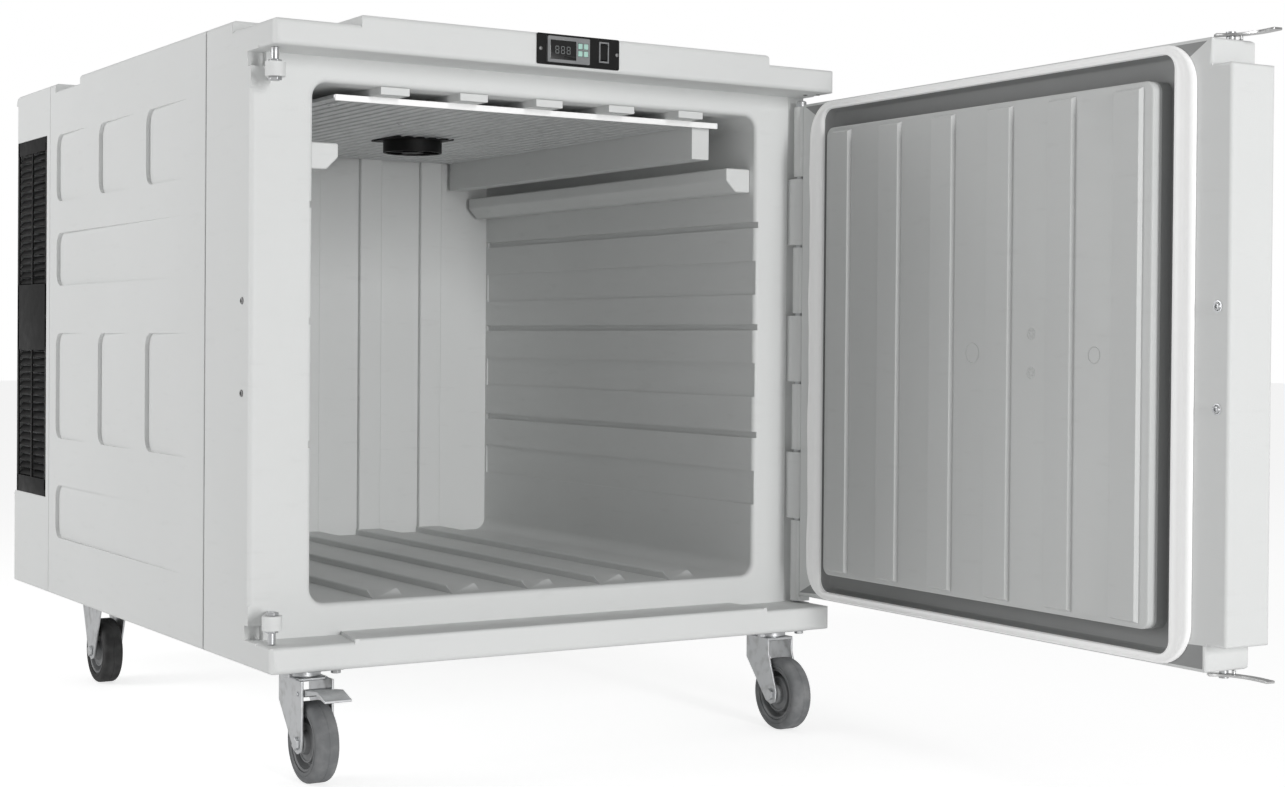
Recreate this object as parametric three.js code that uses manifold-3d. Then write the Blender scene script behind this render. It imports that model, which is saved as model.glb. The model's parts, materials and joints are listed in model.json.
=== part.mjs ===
// Insulated food carrier on castors, with its door standing open.
// Millimetres, +Z up, door side towards -Y. The parts are drawn from the middle of the door opening's
// face at floor level, and the finished group is moved so that the origin is under its middle.
import * as THREE from "three";
import { mergeVertices } from "three/addons/utils/BufferGeometryUtils.js";
import Module from "manifold-3d";

const wasm = await Module();
wasm.setup();

// ---- driving dimensions ----
const gap = 0.3; // between pieces that touch

const bodyWidth = 1050;
const bodyHeight = 1003;
const wheelRadius = 62.5;
const wheelHeadroom = 48; // top of the wheels to the underside of the body
const castorHeight = 2 * wheelRadius + wheelHeadroom;
const frameDepth = 197; // front module, back to its seam
const mainDepth = 1073; // front face to the back of the main tub
const rearDepth = 241; // rear cover, without its thicker foot
const overhang = 92.6; // brow and sill, in front of the front face
const seam = 3.5;

const sideWall = 103.5; // insulated thickness round the cabin
const floorWall = 91.6;
const ceilingWall = 95.5;
const cabinDepth = 1027;
const cabinCorner = 24;
const linerWall = 8;
const shellWall = 14;
const shellFloor = 10;
const shellRoof = 26;
const faceWall = 40;

const browHeight = 56;
const sillHeight = 41;
const sillStep = 5;
const notchDrop = 16; // stacking notches
const notchWidth = 143;
const frontNotchEnd = 79;
const rearNotch = [877, 1037];

const ribCount = 5;
const ribPitch = 141;
const ribWidth = 50;
const ribHeight = 12;
const slotLevels = [250, 442, 624]; // shelf slots, above the cabin floor
const slotHeight = 11;
const slotDepth = 6;
const bandDrop = 94; // shallow bands, below the slots
const bandHeight = 60;
const bandDepth = 2.5;

const railWidth = 50;
const railHeight = 42;
const railLevel = 681.4; // above the cabin floor
const railChamfer = 20;

const hingeInset = 17; // from the body's side
const hingeForward = 16.3; // from the front face
const pinRadius = 9;
const bodyKnuckle = 19.6;
const doorKnuckle = 12.5;
const hingeRelief = 24.5;
const knuckleSplit = 122; // pitch of the knuckles
const knuckleGap = 2.4;
const topKnuckle = 146; // the top door knuckle ends this far below the brow

const doorAngle = 88.4; // how far it stands open, degrees
const doorGap = 7; // behind its inner face
const doorMargin = 16; // to brow and sill less their step
const doorHinge = 36; // from the body's side to the door's hinge edge
const blockInset = 38; // corner blocks, from the free edge
const blockHeight = 38;
const doorWall = 6;
const gasketWidth = 39;
const gasketBand = 13; // its height along the top and bottom
const gasketCorner = 60;
const gasketProud = 6;
const panelInset = 22; // door panel, inside the cabin's width
const panelTop = 22; // inside the cabin's height, top
const panelFoot = 6; // inside the cabin's height, foot
const panelRise = 17;
const doorRibCount = 6;
const doorRibPitch = 139;
const doorRibWidth = 56;
const doorRibRise = 8;

const lugWidth = 32;
const lugReach = 71;
const lugHeight = 22;
const lugClear = 7; // from a lug to the door's full height
const keeperRadius = 6;
const keeperRise = 22.7;
const keeperNut = 5.5;
const keeperCollar = 4;
const leverThick = 4;
const leverWidth = 15;
const leverStand = 7; // above its corner block

const plateThick = 6; // evaporator plate
const plateInset = 52.5;
const plateFront = 45;
const fanSize = 120;
const fanDepth = 26;
const fanX = 25;
const fanY = 577;

const wheelWidth = 37.5;
const rimRadius = 45;
const axleRadius = 6;
const forkGap = 23; // from the wheel's middle to a leg
const forkThick = 4;
const castorOffset = 38;
const frontCastorInset = 82; // wheel middle to the body's side
const frontCastorY = -26;
const rearCastorInset = 93;
const rearCastorY = 1005;

// ---- levels and places worked out from them ----
const half = bodyWidth / 2;
const bottom = castorHeight;
const top = bottom + bodyHeight;
const cabinHalf = half - sideWall;
const cabinFloor = bottom + floorWall;
const cabinTop = top - ceilingWall;
const sillTop = bottom + sillHeight;
const browFoot = top - browHeight;
const hingeX = half - hingeInset;
const hingeY = -hingeForward;
const doorTop = browFoot - doorMargin;
const doorFoot = sillTop + doorMargin - gap - 2;
const ribMiddles = Array.from({ length: ribCount }, (_, i) => (i - (ribCount - 1) / 2) * ribPitch);
const doorRibMiddles = Array.from(
  { length: doorRibCount },
  (_, i) => (i - (doorRibCount - 1) / 2) * doorRibPitch,
);

// ---- materials ----
const finish = (color, roughness, metalness = 0) =>
  new THREE.MeshStandardMaterial({ color, roughness, metalness });
const finishes = {
  shell: () => finish(0xd9dcdb, 0.75),
  liner: () => finish(0xd2d5d4, 0.7),
  foam: () => finish(0xe9e2c6, 0.95),
  gasket: () => finish(0xf1f1f0, 0.6),
  black: () => finish(0x17181a, 0.5),
  screen: () => finish(0x0b0c0e, 0.2),
  key: () => finish(0xb9d8cf, 0.5),
  bezel: () => finish(0x6d7174, 0.5),
  zinc: () => finish(0xb8bcbe, 0.4, 1),
  steel: () => finish(0xc9cbcc, 0.3, 1),
  aluminium: () => finish(0xe6e8e8, 0.4, 1),
  rubber: () => finish(0x6e7072, 0.85),
  darkRubber: () => finish(0x1d1e1f, 0.85),
  rim: () => finish(0x8d9092, 0.5),
};

// ---- solids ----
const unitX = new THREE.Vector3(1, 0, 0);
const unitY = new THREE.Vector3(0, 1, 0);
const unitZ = new THREE.Vector3(0, 0, 1);
// Each turns an outline's own X, Y and depth: an outline in YZ runs along X, one in XZ along -Y.
const outlineTurn = {
  x: new THREE.Matrix4().makeBasis(unitY, unitZ, unitX),
  y: new THREE.Matrix4().makeBasis(unitX, unitZ, unitY.clone().negate()),
  z: new THREE.Matrix4(),
};

function solid(geometry) {
  const bare = geometry.index ? geometry.toNonIndexed() : geometry.clone();
  bare.deleteAttribute("normal");
  bare.deleteAttribute("uv");
  const merged = mergeVertices(bare, 1e-3);
  return new wasm.Manifold(
    new wasm.Mesh({
      numProp: 3,
      vertProperties: merged.attributes.position.array,
      triVerts: new Uint32Array(merged.index.array),
    }),
  );
}

const join = (...pieces) => pieces.reduce((whole, piece) => whole.add(piece));
const cut = (body, ...tools) => tools.reduce((rest, tool) => rest.subtract(tool), body);

function box([x0, x1], [y0, y1], [z0, z1]) {
  const geometry = new THREE.BoxGeometry(x1 - x0, y1 - y0, z1 - z0);
  return solid(geometry.translate((x0 + x1) / 2, (y0 + y1) / 2, (z0 + z1) / 2));
}

// An outline, as points or a shape, drawn out along an axis.
function prism(axis, outline, from, to, curveSegments = 3) {
  const shape = Array.isArray(outline)
    ? new THREE.Shape(outline.map(([a, b]) => new THREE.Vector2(a, b)))
    : outline;
  const geometry = new THREE.ExtrudeGeometry(shape, {
    depth: to - from,
    bevelEnabled: false,
    curveSegments,
  });
  geometry.applyMatrix4(outlineTurn[axis]);
  const start = { x: [from, 0, 0], y: [0, to, 0], z: [0, 0, from] }[axis];
  return solid(geometry.translate(...start));
}

function roundedRect([a0, a1], [b0, b1], r) {
  const shape = new THREE.Shape();
  const quarter = Math.PI / 2;
  shape.absarc(a1 - r, b0 + r, r, -quarter, 0);
  shape.absarc(a1 - r, b1 - r, r, 0, quarter);
  shape.absarc(a0 + r, b1 - r, r, quarter, 2 * quarter);
  shape.absarc(a0 + r, b0 + r, r, 2 * quarter, 3 * quarter);
  return shape;
}

// A round bar along an axis through a point.
function rod(axis, [x, y, z], radius, from, to, sides = 24) {
  const geometry = new THREE.CylinderGeometry(radius, radius, to - from, sides);
  geometry.translate(0, (from + to) / 2, 0);
  if (axis === "x") geometry.rotateZ(-Math.PI / 2).translate(0, y, z);
  if (axis === "y") geometry.translate(x, 0, z);
  if (axis === "z") geometry.rotateX(Math.PI / 2).translate(x, y, 0);
  return solid(geometry);
}

// A profile of [radius, distance along the axis] points turned about the axis.
function turned(axis, [x, y, z], profile, sides = 32) {
  const points = profile.map(([r, h]) => new THREE.Vector2(r, h));
  const geometry = new THREE.LatheGeometry(points, sides);
  if (axis === "x") geometry.rotateZ(-Math.PI / 2);
  if (axis === "z") geometry.rotateX(Math.PI / 2);
  return solid(geometry.translate(x, y, z));
}

function hexNut([x, y], radius, from, to) {
  return rod("z", [x, y, 0], radius, from, to, 6);
}

function mirrored(piece) {
  return piece.mirror([1, 0, 0]);
}

const carrier = new THREE.Group();
const doorGroup = new THREE.Group();

function add(parent, name, piece, material) {
  const made = piece.getMesh();
  const geometry = new THREE.BufferGeometry();
  const corners = new Float32Array(made.vertProperties);
  geometry.setAttribute("position", new THREE.BufferAttribute(corners, 3));
  geometry.setIndex(new THREE.BufferAttribute(new Uint32Array(made.triVerts), 1));
  const flat = geometry.toNonIndexed();
  flat.computeVertexNormals();
  const mesh = new THREE.Mesh(flat, material());
  mesh.name = name;
  parent.add(mesh);
  return mesh;
}

// ---- cabin cross-section, grown or shrunk by an amount ----
const cabin = (grow) =>
  roundedRect(
    [-cabinHalf - grow, cabinHalf + grow],
    [cabinFloor - grow, cabinTop + grow],
    cabinCorner + Math.max(grow, 0),
  );

// Slots and bands in both side walls of the cabin, as cutting tools.
function sideGrooves(from, to) {
  const tools = [];
  for (const level of slotLevels) {
    const slot = cabinFloor + level;
    const band = slot - bandDrop;
    for (const side of [-1, 1]) {
      const across = (depth) => [side * (cabinHalf - 1), side * (cabinHalf + depth)].sort((a, b) => a - b);
      const rise = (middle, height) => [middle - height / 2, middle + height / 2];
      tools.push(box(across(slotDepth), [from, to], rise(slot, slotHeight)));
      tools.push(box(across(bandDepth), [from, to], rise(band, bandHeight)));
    }
  }
  return tools;
}

// ---- front module ----
const linerFront = 9; // the liner starts this far behind the front face
const knuckleTop = browFoot - topKnuckle;
// Door knuckles and body knuckles alternate down the pin.
const bodyKnuckles = [0, 2, 4].map((i) => [
  knuckleTop - (i + 1) * knuckleSplit + knuckleGap,
  knuckleTop - i * knuckleSplit - knuckleGap,
]);
const doorKnuckles = [
  [knuckleTop + knuckleGap, browFoot - 19],
  [knuckleTop - 2 * knuckleSplit + knuckleGap, knuckleTop - knuckleSplit - knuckleGap],
  [knuckleTop - 4 * knuckleSplit + knuckleGap, knuckleTop - 3 * knuckleSplit - knuckleGap],
  [sillTop + 4, knuckleTop - 5 * knuckleSplit - knuckleGap],
];
const keeperX = -half + hingeInset;
const keeperY = -55;
const upperLug = doorTop - lugClear - lugHeight;
const lowerLug = doorFoot + lugClear + 2;

function lug(level) {
  const outline = new THREE.Shape();
  const round = 14;
  outline.moveTo(-half, 0.5);
  outline.absarc(-half + round, -lugReach + round, round, Math.PI, 1.5 * Math.PI);
  outline.absarc(-half + lugWidth - round, -lugReach + round, round, 1.5 * Math.PI, 2 * Math.PI);
  outline.lineTo(-half + lugWidth, 0.5);
  return prism("z", outline, level, level + lugHeight);
}

function notch(side, y0, y1) {
  const xs = [side * (half - notchWidth), side * (half + 1)].sort((a, b) => a - b);
  return box(xs, [y0, y1], [top - notchDrop, top + 1]);
}

const hollow = (from, to, shrink = 0) =>
  box(
    [-half + shellWall + shrink, half - shellWall - shrink],
    [from, to],
    [bottom + shellFloor + shrink, top - shellRoof - shrink],
  );

const controlPocket = box([-62, 60], [-overhang - 1, -40], [top - 48, top - 4.5]);

function frontFrame() {
  const outer = prism(
    "y",
    roundedRect([-half, half], [bottom, top], 8),
    -overhang,
    frameDepth - seam / 2,
  );
  const stepOutline = [
    [-370, 1],
    [-370 - 17, -overhang],
    [370 + 17, -overhang],
    [370, 1],
  ];
  const step = prism("z", stepOutline, sillTop - 1, sillTop + sillStep);
  const window = box([-half - 1, half + 1], [-overhang - 1, 0], [sillTop, browFoot]);
  const relief = rod("z", [hingeX, hingeY, 0], hingeRelief, sillTop, browFoot, 24);
  let frame = cut(
    outer,
    window,
    prism("y", cabin(0), -1, linerFront + 1, 4),
    prism("y", cabin(linerWall + gap), linerFront, frameDepth, 4),
    hollow(faceWall, frameDepth),
    relief,
    ...sideGrooves(-1, linerFront),
    notch(-1, -overhang - 1, frontNotchEnd),
    notch(1, -overhang - 1, frontNotchEnd),
    controlPocket,
  );
  frame = join(frame, step, lug(upperLug), lug(lowerLug));
  for (const [from, to] of bodyKnuckles) {
    const fin = box([hingeX - 14, half], [hingeY, faceWall / 2], [from, to]);
    frame = join(frame, rod("z", [hingeX, hingeY, 0], bodyKnuckle, from, to, 24), fin);
  }
  const pocketTop = upperLug + lugHeight;
  const pockets = [
    box([-half - 1, -half + 25], [-1, 14], [pocketTop, browFoot]),
    box([-half - 1, -half + 25], [-1, 14], [sillTop, lowerLug]),
  ];
  const bore = rod("z", [hingeX, hingeY, 0], pinRadius + gap, sillTop, browFoot);
  const keeperBore = rod("z", [keeperX, keeperY, 0], keeperRadius + gap, sillTop, browFoot);
  return cut(frame, ...pockets, bore, keeperBore);
}
add(carrier, "front_frame", frontFrame(), finishes.shell);

// ---- main tub ----
// Shallow wedge-shaped panels in the sides: flush at the front end, deepest at the rear.
const panelDepth = 7;
const shortPanels = [
  [277, 491],
  [548, 758],
  [825, 1026],
];
const longPanels = [[277, 1024]];
const panelRows = [
  { rise: [bottom + 770, bottom + 900], spans: shortPanels },
  { rise: [bottom + 606, bottom + 709], spans: longPanels },
  { rise: [bottom + 309, bottom + 514], spans: shortPanels },
  { rise: [bottom + 115, bottom + 218], spans: longPanels },
];

function wedgePanel([y0, y1], [z0, z1]) {
  const wedge = [
    [half, y0],
    [half - panelDepth, y1],
    [half + 5, y1],
    [half + 5, y0],
  ];
  const window = prism("x", roundedRect([y0 - 30, y1], [z0, z1], 26), half - 20, half + 10);
  return prism("z", wedge, z0, z1).intersect(window);
}

const shellFront = frameDepth + seam / 2;
const backWall = 6;

function outerShell() {
  const outer = prism("y", roundedRect([-half, half], [bottom, top], 8), shellFront, mainDepth);
  const notches = [-1, 1].map((side) => notch(side, ...rearNotch));
  const panels = panelRows.flatMap(({ rise, spans }) => spans.map((span) => wedgePanel(span, rise)));
  return cut(
    outer,
    hollow(shellFront - 1, mainDepth - backWall),
    ...notches,
    ...panels,
    ...panels.map(mirrored),
  );
}
add(carrier, "outer_shell", outerShell(), finishes.shell);

// ---- cabin liner ----
const ribFront = 15; // floor ribs, start of their ramp
const ribRamp = 25;

function innerLiner() {
  const backRibs = ribMiddles.map((x) =>
    box(
      [x - ribWidth / 2, x + ribWidth / 2],
      [cabinDepth - ribHeight, cabinDepth + 1],
      [cabinFloor - 1, cabinTop + 1],
    ),
  );
  const ramp = [
    [ribFront, cabinFloor - 1],
    [ribFront, cabinFloor],
    [ribFront + ribRamp, cabinFloor + ribHeight],
    [cabinDepth - 1, cabinFloor + ribHeight],
    [cabinDepth - 1, cabinFloor - 1],
  ];
  const floorRibs = ribMiddles.map((x) => prism("x", ramp, x - ribWidth / 2 - 2, x + ribWidth / 2 + 2));
  const ceilingRibs = ribMiddles.flatMap((x) => {
    const across = [x - ribWidth / 2, x + ribWidth / 2];
    const foot = cabinTop - ribHeight;
    return [
      box(across, [linerFront + gap, cabinDepth - 1], [foot, cabinTop + 1]),
      box(across, [1, linerFront + 1], [foot, cabinTop - gap]),
    ];
  });
  return cut(
    join(
      cut(
        prism("y", cabin(linerWall), linerFront + gap, cabinDepth + linerWall, 4),
        prism("y", cabin(0), 0, cabinDepth, 4),
      ),
      ...backRibs,
      ...floorRibs,
      ...ceilingRibs,
    ),
    ...sideGrooves(0, cabinDepth - 8),
  );
}
add(carrier, "inner_liner", innerLiner(), finishes.liner);

function foamCore() {
  return cut(
    hollow(faceWall + gap, mainDepth - backWall - gap, gap),
    prism("y", cabin(linerWall + gap), faceWall - 1, cabinDepth + linerWall + gap, 4),
  );
}
add(carrier, "foam_core", foamCore(), finishes.foam);

// ---- rear cover with its grilles ----
const coverFront = mainDepth + seam / 2;
const coverBack = mainDepth + rearDepth;
const footDepth = 14; // how far the foot stands back
const footHeight = 187;
const coverWall = 6;
const grilleY = [coverFront + 19, coverBack - 12];
const grilleZ = [bottom + 189, top - 98];
const grilleThick = 3;
const grilleLip = 6;
const inletX = 330;
const inletZ = bottom + 90;

// A box centred on the inlet, from one depth to another.
function inletBox(halfX, halfZ, from, to) {
  return box([inletX - halfX, inletX + halfX], [from, to], [inletZ - halfZ, inletZ + halfZ]);
}

function coverOutline(shrink) {
  const round = 20 - shrink;
  const back = coverBack - shrink;
  const foot = bottom + shrink;
  const shape = new THREE.Shape();
  const front = coverFront - (shrink ? 1 : 0);
  shape.moveTo(front, foot);
  shape.lineTo(back + footDepth, foot);
  shape.lineTo(back + footDepth, bottom + footHeight - 10);
  shape.lineTo(back, bottom + footHeight);
  shape.absarc(back - round, top - shrink - round, round, 0, Math.PI / 2);
  shape.lineTo(front, top - shrink);
  return shape;
}

function rearCover() {
  const pockets = [-1, 1].flatMap((side) => {
    const ordered = (a, b) => [side * a, side * b].sort((p, q) => p - q);
    const shrunk = ([a, b], by) => [a + by, b - by];
    return [
      box(ordered(half - grilleThick, half + 1), shrunk(grilleY, -gap), shrunk(grilleZ, -gap)),
      box(ordered(half - 20, half + 1), shrunk(grilleY, grilleLip), shrunk(grilleZ, grilleLip)),
    ];
  });
  const inletHole = inletBox(15, 12, coverBack - 10, coverBack + footDepth + 1);
  return cut(
    prism("x", coverOutline(0), -half, half),
    prism("x", coverOutline(coverWall), -half + coverWall, half - coverWall),
    ...pockets,
    inletHole,
  );
}
add(carrier, "rear_cover", rearCover(), finishes.shell);

const louvreGroups = [
  [0.045, 0.405],
  [0.595, 0.955],
]; // shares of the grille's height
const louvrePitch = 26;

function grille() {
  const height = grilleZ[1] - grilleZ[0];
  let plate = box([half - grilleThick + gap, half], grilleY, grilleZ);
  for (const [from, to] of louvreGroups) {
    const count = Math.round(((to - from) * height) / louvrePitch);
    for (let i = 0; i < count; i += 1) {
      const z = grilleZ[0] + from * height + (i + 0.5) * louvrePitch;
      plate = cut(plate, box([half - 10, half + 1], [grilleY[0] + 12, grilleY[1] - 12], [z - 7, z + 7]));
    }
  }
  return plate;
}
add(carrier, "grille_right", grille(), finishes.black);
add(carrier, "grille_left", mirrored(grille()), finishes.black);

const footBack = coverBack + footDepth;
add(
  carrier,
  "power_inlet",
  cut(
    join(inletBox(24, 17, footBack + gap, footBack + 3), inletBox(14, 11, coverBack - 20, footBack + 1)),
    inletBox(11, 8, coverBack - 12, footBack + 4),
  ),
  finishes.black,
);

// ---- controls on the brow ----
const controlFace = -overhang;
const bezelX = [-60, 18.5];
const bezelZ = [top - 47, top - 5];
const switchX = [37.5, 56];
const switchZ = [top - 41, top - 7];
const grown = ([a, b], by) => [a - by, b + by];

add(
  carrier,
  "controller_plate",
  cut(
    prism("y", roundedRect([-78, 77], [top - 51, top - 1], 3), controlFace - 2 - gap, controlFace - gap),
    box(grown(bezelX, gap), [controlFace - 3, controlFace], grown(bezelZ, gap)),
    box(grown(switchX, gap), [controlFace - 3, controlFace], grown(switchZ, gap)),
  ),
  finishes.black,
);

const displayX = [-55, -7];
const displayZ = [top - 42, top - 11];
const keyXs = [0.5, 11];
const keyZs = [top - 30, top - 18];
const keyWidth = 8;
const keyHeight = 9;
const keySpots = keyZs.flatMap((z) => keyXs.map((x) => [x, z]));
const keyBox = ([x, z], by, depth) =>
  box(
    grown([x - keyWidth / 2, x + keyWidth / 2], by),
    depth,
    grown([z - keyHeight / 2, z + keyHeight / 2], by),
  );
const bezelFace = controlFace - 6;

add(
  carrier,
  "controller_bezel",
  cut(
    prism("y", roundedRect(bezelX, bezelZ, 2), bezelFace, controlFace + 45),
    box(displayX, [bezelFace - 1, bezelFace + 3], displayZ),
    ...keySpots.map((spot) => keyBox(spot, 0.4, [bezelFace - 1, bezelFace + 5])),
  ),
  finishes.bezel,
);
add(
  carrier,
  "controller_display",
  box(grown(displayX, -gap), [bezelFace + 0.8, bezelFace + 3 - gap], grown(displayZ, -gap)),
  finishes.screen,
);
keySpots.forEach((spot, i) => {
  add(carrier, `key_${i + 1}`, keyBox(spot, 0, [bezelFace - 1, bezelFace + 3.4]), finishes.key);
});

const switchFace = controlFace - 4;
const rockerX = grown(switchX, -2.5);
const rockerZ = grown(switchZ, -3.5);
add(
  carrier,
  "switch_bezel",
  cut(
    box(switchX, [switchFace, controlFace + 25], switchZ),
    box(grown(rockerX, gap), [switchFace - 1, switchFace + 16], grown(rockerZ, 1)),
  ),
  finishes.black,
);
// The rocker has two faces that meet in a shallow valley, and lies tipped to its off side.
const rockerTilt = 8;
const rockerAxisY = switchFace + 5;
const rockerMiddle = (rockerZ[0] + rockerZ[1]) / 2;
const rockerReach = (rockerZ[1] - rockerZ[0]) / 2 - 1.2;
const rocker = add(
  carrier,
  "rocker",
  prism(
    "x",
    [
      [7, 0],
      [-2, -rockerReach],
      [-6, -rockerReach],
      [-4, 0],
      [-6, rockerReach],
      [-2, rockerReach],
    ],
    rockerX[0],
    rockerX[1],
  ),
  finishes.black,
);
rocker.position.set(0, rockerAxisY, rockerMiddle);
rocker.rotation.x = THREE.MathUtils.degToRad(rockerTilt);

// ---- keeper bolts ----
function keeperBolt(lugLevel, up) {
  const lugTop = lugLevel + lugHeight;
  const below = (depth) => [lugLevel - depth, lugLevel - gap];
  const above = (height) => [lugTop + gap, lugTop + height];
  const nut = up ? below(keeperNut) : above(keeperNut);
  const collar = up ? above(keeperCollar) : below(keeperCollar);
  const shank = up ? [nut[0] - 0.7, lugTop + keeperRise] : [lugLevel - keeperRise + 1, nut[1] + 0.7];
  const spot = [keeperX, keeperY];
  return join(
    rod("z", [...spot, 0], keeperRadius, ...shank, 20),
    hexNut(spot, 10.5, ...nut),
    hexNut(spot, 10.5, ...collar),
  );
}
add(carrier, "keeper_bolt_top", keeperBolt(upperLug, true), finishes.zinc);
add(carrier, "keeper_bolt_bottom", keeperBolt(lowerLug, false), finishes.zinc);

// ---- hinge pin ----
add(
  carrier,
  "hinge_pin",
  rod("z", [hingeX, hingeY, 0], pinRadius, sillTop + 1, browFoot - 8, 24),
  finishes.zinc,
);

// ---- door, drawn closed and then turned about the hinge ----
const doorInner = -doorGap;
const doorOuter = -overhang;
const doorEdge = half - doorHinge;
const panelX = [-cabinHalf + panelInset, cabinHalf - panelInset];
const panelZ = [cabinFloor + panelFoot, cabinTop - panelTop];
const doorHollowX = grown(panelX, -12);
const doorHollowZ = grown(panelZ, -12);

function doorShell() {
  const slab = prism(
    "y",
    roundedRect([-half, doorEdge], [doorFoot, doorTop], 6),
    doorOuter,
    doorInner,
  );
  const corner = (from, to) =>
    box([-half - 1, -half + blockInset], [doorOuter - 1, doorInner + 1], [from, to]);
  const corners = [corner(doorTop - blockHeight, doorTop + 1), corner(doorFoot - 1, doorFoot + blockHeight)];
  const store = box(doorHollowX, [doorOuter + doorWall, doorInner + 1], doorHollowZ);
  const swing = bodyKnuckles.map(([from, to]) =>
    rod("z", [hingeX, hingeY, 0], bodyKnuckle + 1.5, from - knuckleGap, to + knuckleGap, 24),
  );
  let shell = cut(slab, ...corners, store, ...swing);
  for (const [from, to] of doorKnuckles) {
    const fin = box([doorEdge - 1, hingeX], [hingeY - doorKnuckle, hingeY + doorKnuckle - 4], [from, to]);
    shell = join(shell, rod("z", [hingeX, hingeY, 0], doorKnuckle, from, to), fin);
  }
  return cut(shell, rod("z", [hingeX, hingeY, 0], pinRadius + gap, sillTop, browFoot));
}
add(doorGroup, "door_shell", doorShell(), finishes.shell);

add(
  doorGroup,
  "door_foam",
  box(grown(doorHollowX, -gap), [doorOuter + doorWall + gap, doorInner - gap], grown(doorHollowZ, -gap)),
  finishes.foam,
);

function doorPanel() {
  const chamfer = 9;
  const y0 = doorInner + gap;
  const y1 = doorInner + panelRise;
  const base = prism("y", roundedRect(panelX, panelZ, 18), y0, y1 - chamfer, 3);
  const faceOutline = roundedRect(grown(panelX, -chamfer), grown(panelZ, -chamfer), 12);
  const face = prism("y", faceOutline, y0, y1, 3);
  const ribZ = grown(panelZ, -chamfer - 2);
  const ribs = doorRibMiddles.map((x) =>
    box([x - doorRibWidth / 2, x + doorRibWidth / 2], [y1 - 2, y1 + doorRibRise], ribZ),
  );
  return join(base, face, ...ribs);
}
add(doorGroup, "door_panel", doorPanel(), finishes.liner);

const gasketX = [-cabinHalf - gasketWidth, cabinHalf + gasketWidth];
const gasketZ = [doorFoot + 3, doorTop - 3];
add(
  doorGroup,
  "door_gasket",
  cut(
    prism("y", roundedRect(gasketX, gasketZ, gasketCorner), doorInner + gap, doorInner + gasketProud, 4),
    prism(
      "y",
      roundedRect(
        grown(gasketX, -gasketWidth),
        grown(gasketZ, -gasketBand),
        gasketCorner - gasketBand,
      ),
      doorInner - 1,
      doorInner + gasketProud + 1,
      4,
    ),
  ),
  finishes.gasket,
);

// ---- latch levers: a hooked plate on a shouldered post on each corner block ----
const postX = -half + 60;
const postY = -66;
const postRadius = 6.5;
const spigotRadius = 4;
const headRadius = 7;
const headHeight = 2.2;

// The lever reaches over the door's free edge and passes in front of the keeper bolt.
function leverOutline() {
  const spine = new THREE.CatmullRomCurve3(
    [
      [13, 18],
      [0, 0],
      [-22, -9],
      [-44, -12],
      [-78, -8],
    ].map(([x, y]) => new THREE.Vector3(x, y, 0)),
  );
  const steps = 10;
  const left = [];
  const right = [];
  for (let i = 0; i <= steps; i += 1) {
    const at = spine.getPoint(i / steps);
    const along = spine.getTangent(i / steps);
    const aside = new THREE.Vector2(-along.y, along.x).multiplyScalar(leverWidth / 2);
    left.push([postX + at.x + aside.x, postY + at.y + aside.y]);
    right.push([postX + at.x - aside.x, postY + at.y - aside.y]);
  }
  return [...left, ...right.reverse()];
}

function latch(name, face, up) {
  const level = (from, to) => (up ? [face + from, face + to] : [face - to, face - from]);
  const bar = (radius, from, to) => rod("z", [postX, postY, 0], radius, ...level(from, to), 20);
  const over = leverStand + leverThick;
  const post = join(
    bar(postRadius, gap, leverStand - gap),
    bar(spigotRadius, gap, over + gap + headHeight),
    bar(headRadius, over + gap, over + gap + headHeight),
  );
  const stud = rod("z", [postX - 12, postY - 7, 0], 3, ...level(1.2, leverStand + 1), 12);
  const lever = cut(
    join(prism("z", leverOutline(), ...level(leverStand, over)), stud),
    bar(spigotRadius + gap, 0, over + 5),
  );
  add(doorGroup, `latch_post_${name}`, post, finishes.zinc);
  add(doorGroup, `latch_lever_${name}`, lever, finishes.steel);
}
latch("top", doorTop, true);
latch("bottom", doorFoot, false);

const hinge = new THREE.Group();
hinge.position.set(hingeX, hingeY, 0);
hinge.rotation.z = THREE.MathUtils.degToRad(doorAngle);
doorGroup.position.set(-hingeX, -hingeY, 0);
hinge.add(doorGroup);
carrier.add(hinge);

// ---- cabin fittings ----
const railFoot = cabinFloor + railLevel;
const cabinBack = cabinDepth - ribHeight;

function rail() {
  const wall = cabinHalf - gap;
  const outline = [
    [wall, railFoot],
    [wall, railFoot + railHeight],
    [wall - railWidth, railFoot + railHeight],
    [wall - railWidth, railFoot + railChamfer],
    [wall - railWidth + railChamfer, railFoot],
  ];
  return prism("y", outline, 19, cabinBack - gap);
}
add(carrier, "rail_right", rail(), finishes.liner);
add(carrier, "rail_left", mirrored(rail()), finishes.liner);

const plateTop = cabinTop - ribHeight - gap;
const plateFoot = plateTop - plateThick;
add(
  carrier,
  "evaporator_plate",
  box(grown([-cabinHalf, cabinHalf], -plateInset), [plateFront, cabinBack - gap], [plateFoot, plateTop]),
  finishes.aluminium,
);

const ductWidth = 36;
const ductDrop = 58;
const ductX = cabinHalf - plateInset - 9;
add(
  carrier,
  "pipe_cover",
  cut(
    box(
      [ductX - ductWidth, ductX],
      [plateFront + 15, cabinBack - gap],
      [plateFoot - ductDrop, plateFoot - gap],
    ),
    box(
      [ductX - ductWidth + 2, ductX - 2],
      [plateFront + 17, cabinBack - 2],
      [plateFoot - ductDrop + 2, plateFoot],
    ),
  ),
  finishes.liner,
);

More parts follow.
